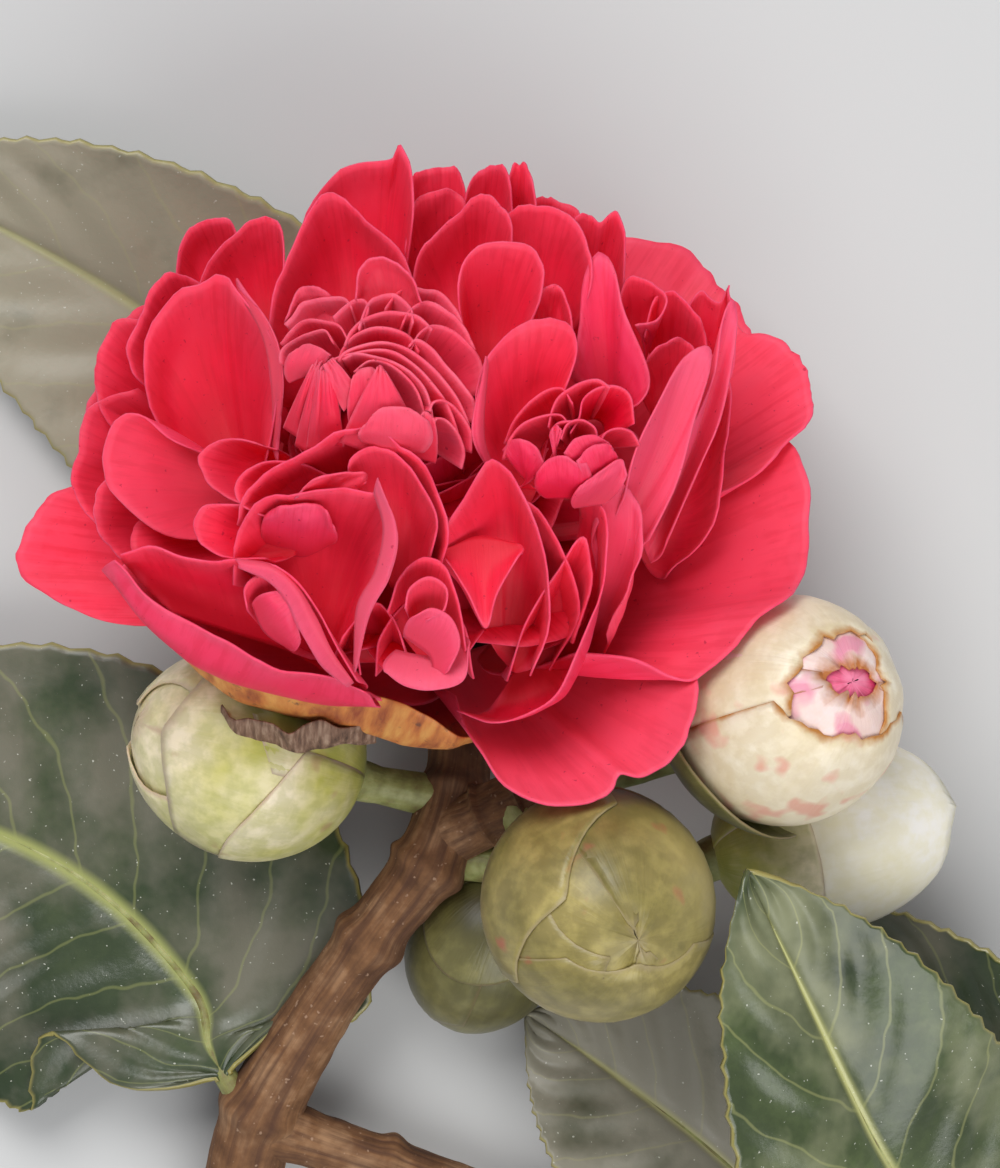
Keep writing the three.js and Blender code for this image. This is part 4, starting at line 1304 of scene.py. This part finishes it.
        cells=(26, 8), wander=0.2,
    ),
    # curls at the top of the main whorl
    dict(
        foot=[(-11, 26, 52)],
        rim=[(-14.4, 28, 55), (-13.9, 31.2, 55.6), (-11.6, 32.3, 55.8), (-9, 30.8, 55.6), (-7.8, 27.8, 55)],
        bulge=(0, 0.8, -1.4), tone=0.3,
    ),
    dict(
        foot=[(-18, 23, 50)],
        rim=[(-21.6, 26.2, 51), (-20.4, 29, 51.8), (-18, 29.6, 52.2), (-16, 27.8, 52.6)],
        bulge=(0, 0.6, -1.2), tone=0.4,
    ),
]


def lifted(points, top, lift):
    """Points of the plan laid on a dome round its top, and lifted off it by some millimetres."""
    return [(x, y, top[2] + lift - 0.05 * ((x - top[0]) ** 2 + (y - top[1]) ** 2)) for x, y in points]


def cupped(rims, top, hollow, depth=5.0, share=0.5):
    """Small petals that stand open round a hollow, each given by its rim in plan, its lift and its tone."""
    made = []
    for rim, lift, tone in rims:
        edge = lifted(rim, top, lift)
        foot = [(x + (hollow[0] - x) * share, y + (hollow[1] - y) * share, z - depth) for x, y, z in edge]
        made.append(
            dict(
                foot=foot, rim=edge, bulge=(0, 0, -0.7), tone=tone * 0.65, wander=0.4, swell=0.02,
                cells=(30, 14),
            )
        )
    return made


def lapped(petals, top):
    """Small petals that close over a dome with their backs up: foot and rim in plan, arch, lift and tone."""
    return [
        dict(
            foot=lifted(foot, top, lift - 1.6), rim=lifted(rim, top, lift), bulge=(0, 0, arch),
            front=(0, 0, -1), tone=tone * 0.6, wander=0.6, roll=0.1, swell=0.12, cells=(20, 20),
        )
        for foot, rim, arch, lift, tone in petals
    ]


MAIN_TOP = (-12, 18, 60)
main_cups = [
    ([(-22, 22), (-21.8, 23.4), (-20, 24.6), (-17.6, 25.3), (-16.6, 24)], -0.6, 0.3),
    ([(-22, 24), (-20.6, 25.7), (-19.3, 26.4), (-17.5, 26.2), (-16, 25.7), (-15, 24)], -0.8, 0.15),
    ([(-21.6, 26), (-20.6, 27.1), (-19.8, 28.2), (-17.9, 28.6), (-15.7, 28.6), (-14.8, 27.6)], -0.2, 0.7),
    ([(-16.6, 26.6), (-14.8, 28.2), (-13.6, 28.3), (-13.1, 27.5), (-13.6, 26)], 0.3, 0.6),
    ([(-14, 25.4), (-13.1, 27.9), (-12, 28.7), (-10.4, 28.9), (-8.9, 27.5), (-8.6, 26)], 0.4, 0.8),
    (
        [(-11.4, 27.4), (-10.4, 28.9), (-9.2, 29.7), (-7.6, 29.5), (-5.9, 29.2), (-4.2, 27.2), (-3.4, 25)],
        -0.5, 0.4,
    ),
    ([(-9.6, 26), (-8.9, 27.3), (-7.2, 28.2), (-5, 27.1), (-3.7, 25.9), (-2.4, 23.4)], 0.3, 0.4),
    (
        [(-15.4, 23.6), (-14.8, 25), (-13.6, 26.2), (-11.5, 27), (-9.8, 27), (-8.1, 26.6), (-6.7, 25.3)],
        0.4, 0.5,
    ),
    (
        [(-8.8, 23.2), (-8, 24.8), (-6.7, 25.7), (-5, 25.4), (-3.4, 24.2), (-1.9, 22.2), (-1.5, 19)], 0.4,
        0.3,
    ),
    (
        [(-16, 22), (-15.6, 23.2), (-14.5, 24.6), (-12.6, 25.4), (-10.7, 25.3), (-8.9, 24.5), (-8, 23)],
        0.3, 0.12,
    ),
    (
        [(-8.9, 23.6), (-8.2, 24.2), (-6.8, 23.4), (-5.2, 21.5), (-3.7, 19.8), (-2.5, 18), (-2.5, 16)],
        0.9, 0.45,
    ),
    ([(-16, 22), (-15.3, 22.9), (-13.6, 23.6), (-11.5, 23.9), (-9.5, 23.4), (-7.7, 22.3), (-5.9, 20.6),
      (-4.2, 18.4), (-2.9, 15.6)], 0.8, 0.5),
    (
        [(-15.6, 22.2), (-14, 22.9), (-11.2, 23.1), (-8.9, 22), (-6.9, 20.1), (-5, 17.4), (-3.8, 13.8)],
        0.8, 0.4,
    ),
    (
        [(-16.6, 22.2), (-14.5, 22.8), (-12.3, 22.4), (-10.3, 21.8), (-8.5, 20.6), (-7.1, 18.6),
         (-6.4, 15)],
        0.9, 0.6,
    ),
    ([(-14.4, 20.9), (-12.9, 22), (-11.2, 21.8), (-9.5, 20.7), (-8.1, 18.9), (-7.2, 16)], 0.5, 0.3),
    ([(-6.9, 17), (-6.5, 17.9), (-5.5, 18.1), (-4.2, 17.2), (-2.9, 15.2), (-2.8, 13)], 1.2, 0.2),
    ([(-6.6, 15.4), (-6.2, 16.3), (-5.2, 16.1), (-4.1, 14.8), (-3.5, 13), (-3.8, 11.4)], 1.3, 0.4),
]
main_laps = [
    (
        [(-20.9, 20), (-19.4, 20.6)], [(-21, 22.8), (-19.3, 23.8), (-17.8, 23.4), (-16.7, 22.6)], 0.8,
        0.6, 0.5,
    ),
    ([(-21.6, 15.6), (-20.2, 14.6)], [(-18.6, 21.6), (-17.9, 22.4)], 1.4, 0.2, 0.35),
    ([(-20.4, 13.8), (-19, 13)], [(-18.2, 21.4), (-17.6, 22.1)], 1.4, 0.5, 0.4),
    ([(-19.2, 13.4), (-17.6, 12.8)], [(-17.9, 21), (-17.4, 21.7)], 1.6, 0.8, 0.4),
    ([(-18, 14), (-15.4, 13.6)], [(-17.7, 20.9), (-16.7, 21.4)], 1.7, 0.9, 0.2),
    ([(-15.4, 17), (-13.8, 18.8)], [(-17.4, 21.6), (-16.5, 22.3)], 0.8, 1.4, 0.65),
    (
        [(-14.8, 15.6), (-11.6, 14.4)], [(-14.6, 20.1), (-13.9, 21.1), (-12.6, 21.3), (-12, 20.7)], 0.8,
        1.0, 0.3,
    ),
    ([(-15.8, 14), (-12, 13), (-8.4, 15.6)], [(-12.3, 20.8), (-11.8, 21.5), (-11.2, 20.8)], 1.3, 1.7, 0.4),
    (
        [(-13.4, 14), (-11, 13), (-7.6, 13)],
        [(-13, 15.8), (-12.1, 17), (-10.9, 17.4), (-8.8, 17.2), (-7, 16)], 0.9, 2.2, 0.5,
    ),
    ([(-8.6, 12.6), (-6.4, 12)], [(-8.2, 16), (-7.4, 17), (-6.4, 16.2)], 0.9, 1.4, 0.25),
]
SIDE_TOP = (7.6, 14, 55.4)
side_cups = [
    ([(7, 15), (7.9, 16.6), (8.3, 18.4), (9.9, 19.6), (11.8, 19.7), (13.1, 18.6), (13.4, 16)], 0.3, 0.0),
    ([(4.8, 15.6), (5.2, 17.4), (6, 18.8), (7.9, 20), (9.7, 20.4), (11, 19.6)], 0.6, 0.3),
    ([(0.4, 14), (1.3, 16.2), (2.9, 18.1), (4.6, 19.3), (6.2, 19.5), (7.2, 18)], 0.2, 0.2),
    ([(0.2, 12.4), (0.9, 14.4), (2.2, 15.9), (4.2, 16.7), (6, 16.8), (6.8, 15.8)], 0.8, 0.3),
    ([(10, 13.8), (10.5, 15), (11.8, 15.5), (13.2, 15.1), (14, 13.8)], 0.5, 0.2),
    ([(5.2, 13.6), (5, 15), (5.8, 16), (7, 16.2)], 1.2, 0.3),
    ([(6, 14.4), (6.7, 15.9), (8.1, 16.3), (9.4, 15.5), (9.7, 14.2)], 1.1, 0.3),
]
side_laps = [
    (
        [(3.8, 9.4), (1.6, 9.6)], [(0.2, 13.4), (1.2, 14.4), (2.6, 14.3), (3.8, 13.4), (4.4, 12)], 0.8,
        0.3, 0.1,
    ),
    ([(8.6, 11.6), (10.6, 11.8)], [(6.3, 13), (7.4, 14.4), (9.3, 14.8), (10.8, 14)], 0.6, 1.1, 0.12),
    ([(6, 11), (5, 12.6)], [(4.9, 14.8), (5.5, 15.8), (6.2, 15.2)], 0.6, 1.2, 0.3),
    ([(9.8, 9.6), (11.4, 11.4)], [(7.6, 12.2), (8.9, 13.6), (10.6, 13.9), (11.2, 13.4)], 0.8, 1.5, 0.1),
    ([(4.6, 8.6), (8.6, 8.6)], [(3.6, 11), (4.8, 12.4), (6.4, 12.7), (7.6, 12), (8.6, 12)], 0.8, 1.4, 0.05),
    ([(7.4, 7.6), (10.4, 8)], [(8, 9.8), (10, 11.2), (12, 12.4), (12.6, 10.8)], 0.6, 1.6, 0.45),
]


FOOT_WIDE, FOOT_HIGH = 22, 15  # how far the feet stand out across and along the bloom's axis
RIM_WIDE, RIM_HIGH = 31, 21  # and how far the rims do


def rings_of_filling():
    """Plain petals that wrap the heart from every side, under and behind the listed ones."""
    side = AXIS.orthogonal().normalized()
    made = []
    rings = (
        (116, 11, 0.88), (97, 12, 0.86), (78, 12, 0.76), (60, 10, 0.68), (42, 8, 0.64), (24, 5, 0.62),
        (8, 3, 0.6),
    )
    for polar, count, reach in rings:
        for i in range(count):
            turn = math.radians(360 / count * (i + petal_seeds.uniform(-0.2, 0.2)) + polar * 3)
            outward = Matrix.Rotation(turn, 3, AXIS) @ side
            low, high = math.radians(min(polar + 50, 165)), math.radians(polar)
            near = max(0, -outward.y, 0.8 * abs(outward.x)) * (polar < 100)
            full = reach * (1 - 0.6 * near)
            foot = HEART + (outward * math.sin(low) * FOOT_WIDE + AXIS * math.cos(low) * FOOT_HIGH) * full
            head = HEART + (outward * math.sin(high) * RIM_WIDE + AXIS * math.cos(high) * RIM_HIGH) * full
            made.append(
                dict(
                    base=foot, tip=head, face=-outward + AXIS * 0.4, half_width=petal_seeds.uniform(6.5, 9),
                    cup=(45, 25), bow=-0.08, roll=petal_seeds.uniform(0.02, 0.12), ruffle=0.02,
                    notch=petal_seeds.choice((0, 0, 0.06)), cells=(16, 18),
                )
            )
    return made


CORE_RADIUS = 14
CORE_HEIGHT = 8
core = bmesh.new()
bmesh.ops.create_icosphere(core, subdivisions=5, radius=1)
turned = AXIS.to_track_quat("Z", "Y").to_matrix().to_4x4()
for vert in core.verts:
    lump = 1 + 0.08 * noise.noise(vert.co * 3)
    x, y, z = vert.co
    vert.co = Vector((x * CORE_RADIUS, y * CORE_RADIUS, z * CORE_HEIGHT)) * lump * MM
core.transform(Matrix.Translation(spot(*(HEART - AXIS * 3))) @ turned)
for face in core.faces:
    face.smooth = True
finished(core, "heart_core", [depths], ["bloom_heart"])

groups = {
    "far_petals": far_row,
    "left_petals": left_side,
    "near_petals": near_side,
    "main_whorl": cupped(main_cups, MAIN_TOP, (-12, 17)) + lapped(main_laps, MAIN_TOP),
    "side_whorl": cupped(side_cups, SIDE_TOP, (7.6, 13.4), depth=4) + lapped(side_laps, SIDE_TOP),
}
for name, petals in groups.items():
    bm = bmesh.new()
    for given in petals:
        blade(bm, **given)
    inner, outer_side = (petal_pale, petal_pale) if name == "main_whorl" else (petal_face, petal_back)
    finished(bm, name, [inner, outer_side], ["bloom_heart"], PETAL_THICKNESS * 0.9, 1)

bm = bmesh.new()
for given in rings_of_filling():
    petal(bm, **given)
finished(bm, "filling_petals", [petal_face, petal_back], ["bloom_heart"], PETAL_THICKNESS * 0.8, 1)

# ---------------------------------------------------------------------------------------- calyx
# Behind the bloom a cup of small green-brown bracts holds the petals on the end of the stem.

BLOOM_BASE = (-6, -3, 20)
cup = {"base": spot(*BLOOM_BASE) - AXIS * 7 * MM, "axis": AXIS, "width": 17, "length": 15}
bm = bmesh.new()
for ring, (count, end, lift) in enumerate(((4, 0.3, 0.5), (5, 0.42, 0.2), (5, 0.52, 0.0))):
    for i in range(count):
        turn = 360 / count * i + 25 * ring
        bract(bm, cup, turn=turn, spread=46, start=0.01, end=end, lift=lift, point=0.4)
bmesh.ops.recalc_face_normals(bm, faces=bm.faces)
finished(bm, "calyx_bracts", [dark_bract], ["calyx"], thickness=0.5 * MM)

# ---------------------------------------------------------------------------------------- withered petal
# The lowest outer petal has dried to orange brown along its rim, with a crisp, broken edge.

faded, tree, principled = shader("faded_petal", Roughness=0.6, Subsurface_Weight=0.1)
principled.inputs["Subsurface Scale"].default_value = 1 * MM
objectwise = node(tree, "TexCoord").outputs["Object"]
where = node(tree, "SeparateXYZ", {"Vector": node(tree, "UVMap").outputs[0]})
streaks = grain(tree, scaled_uv(tree, 22, 3), 1.0, 4)
colour = ramp(
    tree, streaks, [(0.3, (0.3, 0.06, 0.02)), (0.5, (0.6, 0.2, 0.045)), (0.7, (0.74, 0.36, 0.09))],
)
colour = mixed(tree, ramp(tree, where.outputs["Y"], [(0.3, 1.0), (0.62, 0.0)]), colour, (0.5, 0.02, 0.04))
spots = ramp(tree, grain(tree, objectwise, 700, 3), [(0.62, 0.0), (0.72, 0.8)])
colour = mixed(tree, spots, colour, (0.12, 0.05, 0.03))
tree.links.new(colour, principled.inputs["Base Color"])
tree.links.new(bump(tree, streaks, 0.5, 0.0003), principled.inputs["Normal"])
bm = bmesh.new()
blade(
    bm, bulge=(-1, -4.6, -1.6), roll=-0.4, wander=1.6, cells=(70, 30),
    foot=[(-26, -5, 27), (-17, -8, 26), (-8, -9, 26)],
    rim=[(-36.6, -3.2, 37), (-31.6, -7.2, 39.6), (-27.4, -9.6, 40.4), (-21.8, -11, 41),
         (-16.4, -11.6, 41.4), (-12, -12.4, 41.8), (-8, -14, 41.8), (-4.6, -15.9, 41.4), (-2, -15.6, 39)],
)
finished(bm, "petal_faded_blade", [faded], ["petal_faded"], PETAL_THICKNESS)

# ---------------------------------------------------------------------------------------- dry bract
# A papery brown bract has let go of the bud beside it and clings under the bloom.

dry, tree, principled = shader("dry_bract", Roughness=0.8)
fibres = grain(tree, scaled_uv(tree, 30, 4), 1.0, 4)
colour = ramp(
    tree, fibres, [(0.3, (0.07, 0.035, 0.022)), (0.5, (0.2, 0.11, 0.07)), (0.72, (0.4, 0.27, 0.19))],
)
tree.links.new(colour, principled.inputs["Base Color"])
tree.links.new(bump(tree, fibres, 0.7, 0.0004), principled.inputs["Normal"])
bm = bmesh.new()
blade(
    bm, bulge=(-0.5, -3.2, -1), roll=-0.5, wander=1.8, cells=(60, 26),
    foot=[(-25, -10.5, 30), (-20, -12.6, 29), (-14.6, -13, 30)],
    rim=[(-28.6, -11.6, 35), (-26.8, -14.2, 36.6), (-23.8, -14.4, 37), (-21.2, -15.2, 37),
         (-18.8, -14.8, 37), (-15.6, -15.6, 36.6), (-13, -15.2, 35.4)],
)
finished(bm, "dry_bract_blade", [dry], ["dry_bract"], PETAL_THICKNESS)

# ---------------------------------------------------------------------------------------- surroundings
# The sprig lies on a plain pale surface under soft studio light, and the camera looks straight down on it.

floor_material, tree, principled = shader("floor", Roughness=0.9)
principled.inputs["Base Color"].default_value = (0.55, 0.55, 0.54, 1)
bm = bmesh.new()
bmesh.ops.create_grid(bm, x_segments=1, y_segments=1, size=3)
mesh = bpy.data.meshes.new("floor")
bm.to_mesh(mesh)
bm.free()
floor = bpy.data.objects.new("floor", mesh)
mesh.materials.append(floor_material)
bpy.context.scene.collection.objects.link(floor)

world = bpy.data.worlds.new("studio")
world.use_nodes = True
world.node_tree.nodes["Background"].inputs["Color"].default_value = (0.9, 0.93, 1.0, 1)
world.node_tree.nodes["Background"].inputs["Strength"].default_value = 0.42
bpy.context.scene.world = world

focus = spot(0, 0, 30)
for name, offset, size, power in (
    ("window", (-0.25, 0.55, 0.8), 0.6, 7.4),
    ("fill", (0.25, -0.55, 0.65), 0.7, 5),
):
    lamp = bpy.data.lights.new(name, "AREA")
    lamp.size = size
    lamp.energy = power
    holder = bpy.data.objects.new(name, lamp)
    holder.location = focus + Vector(offset)
    holder.rotation_mode = "QUATERNION"
    holder.rotation_quaternion = Vector(offset).to_track_quat("Z", "Y")
    bpy.context.scene.collection.objects.link(holder)

CAMERA_HEIGHT = 563
IN_VIEW = 118.9  # millimetres from the top to the bottom of the picture, at the height of the bloom's rim
RIM_HEIGHT = 43
camera = bpy.data.objects.new("camera", bpy.data.cameras.new("camera"))
camera.location = spot(0, 0, CAMERA_HEIGHT)
camera.data.sensor_width = 36
camera.data.lens = camera.data.sensor_width * (CAMERA_HEIGHT - RIM_HEIGHT) / IN_VIEW
camera.data.clip_start = 0.01
bpy.context.scene.collection.objects.link(camera)
bpy.context.scene.camera = camera
bpy.context.scene.view_settings.view_transform = "Standard"
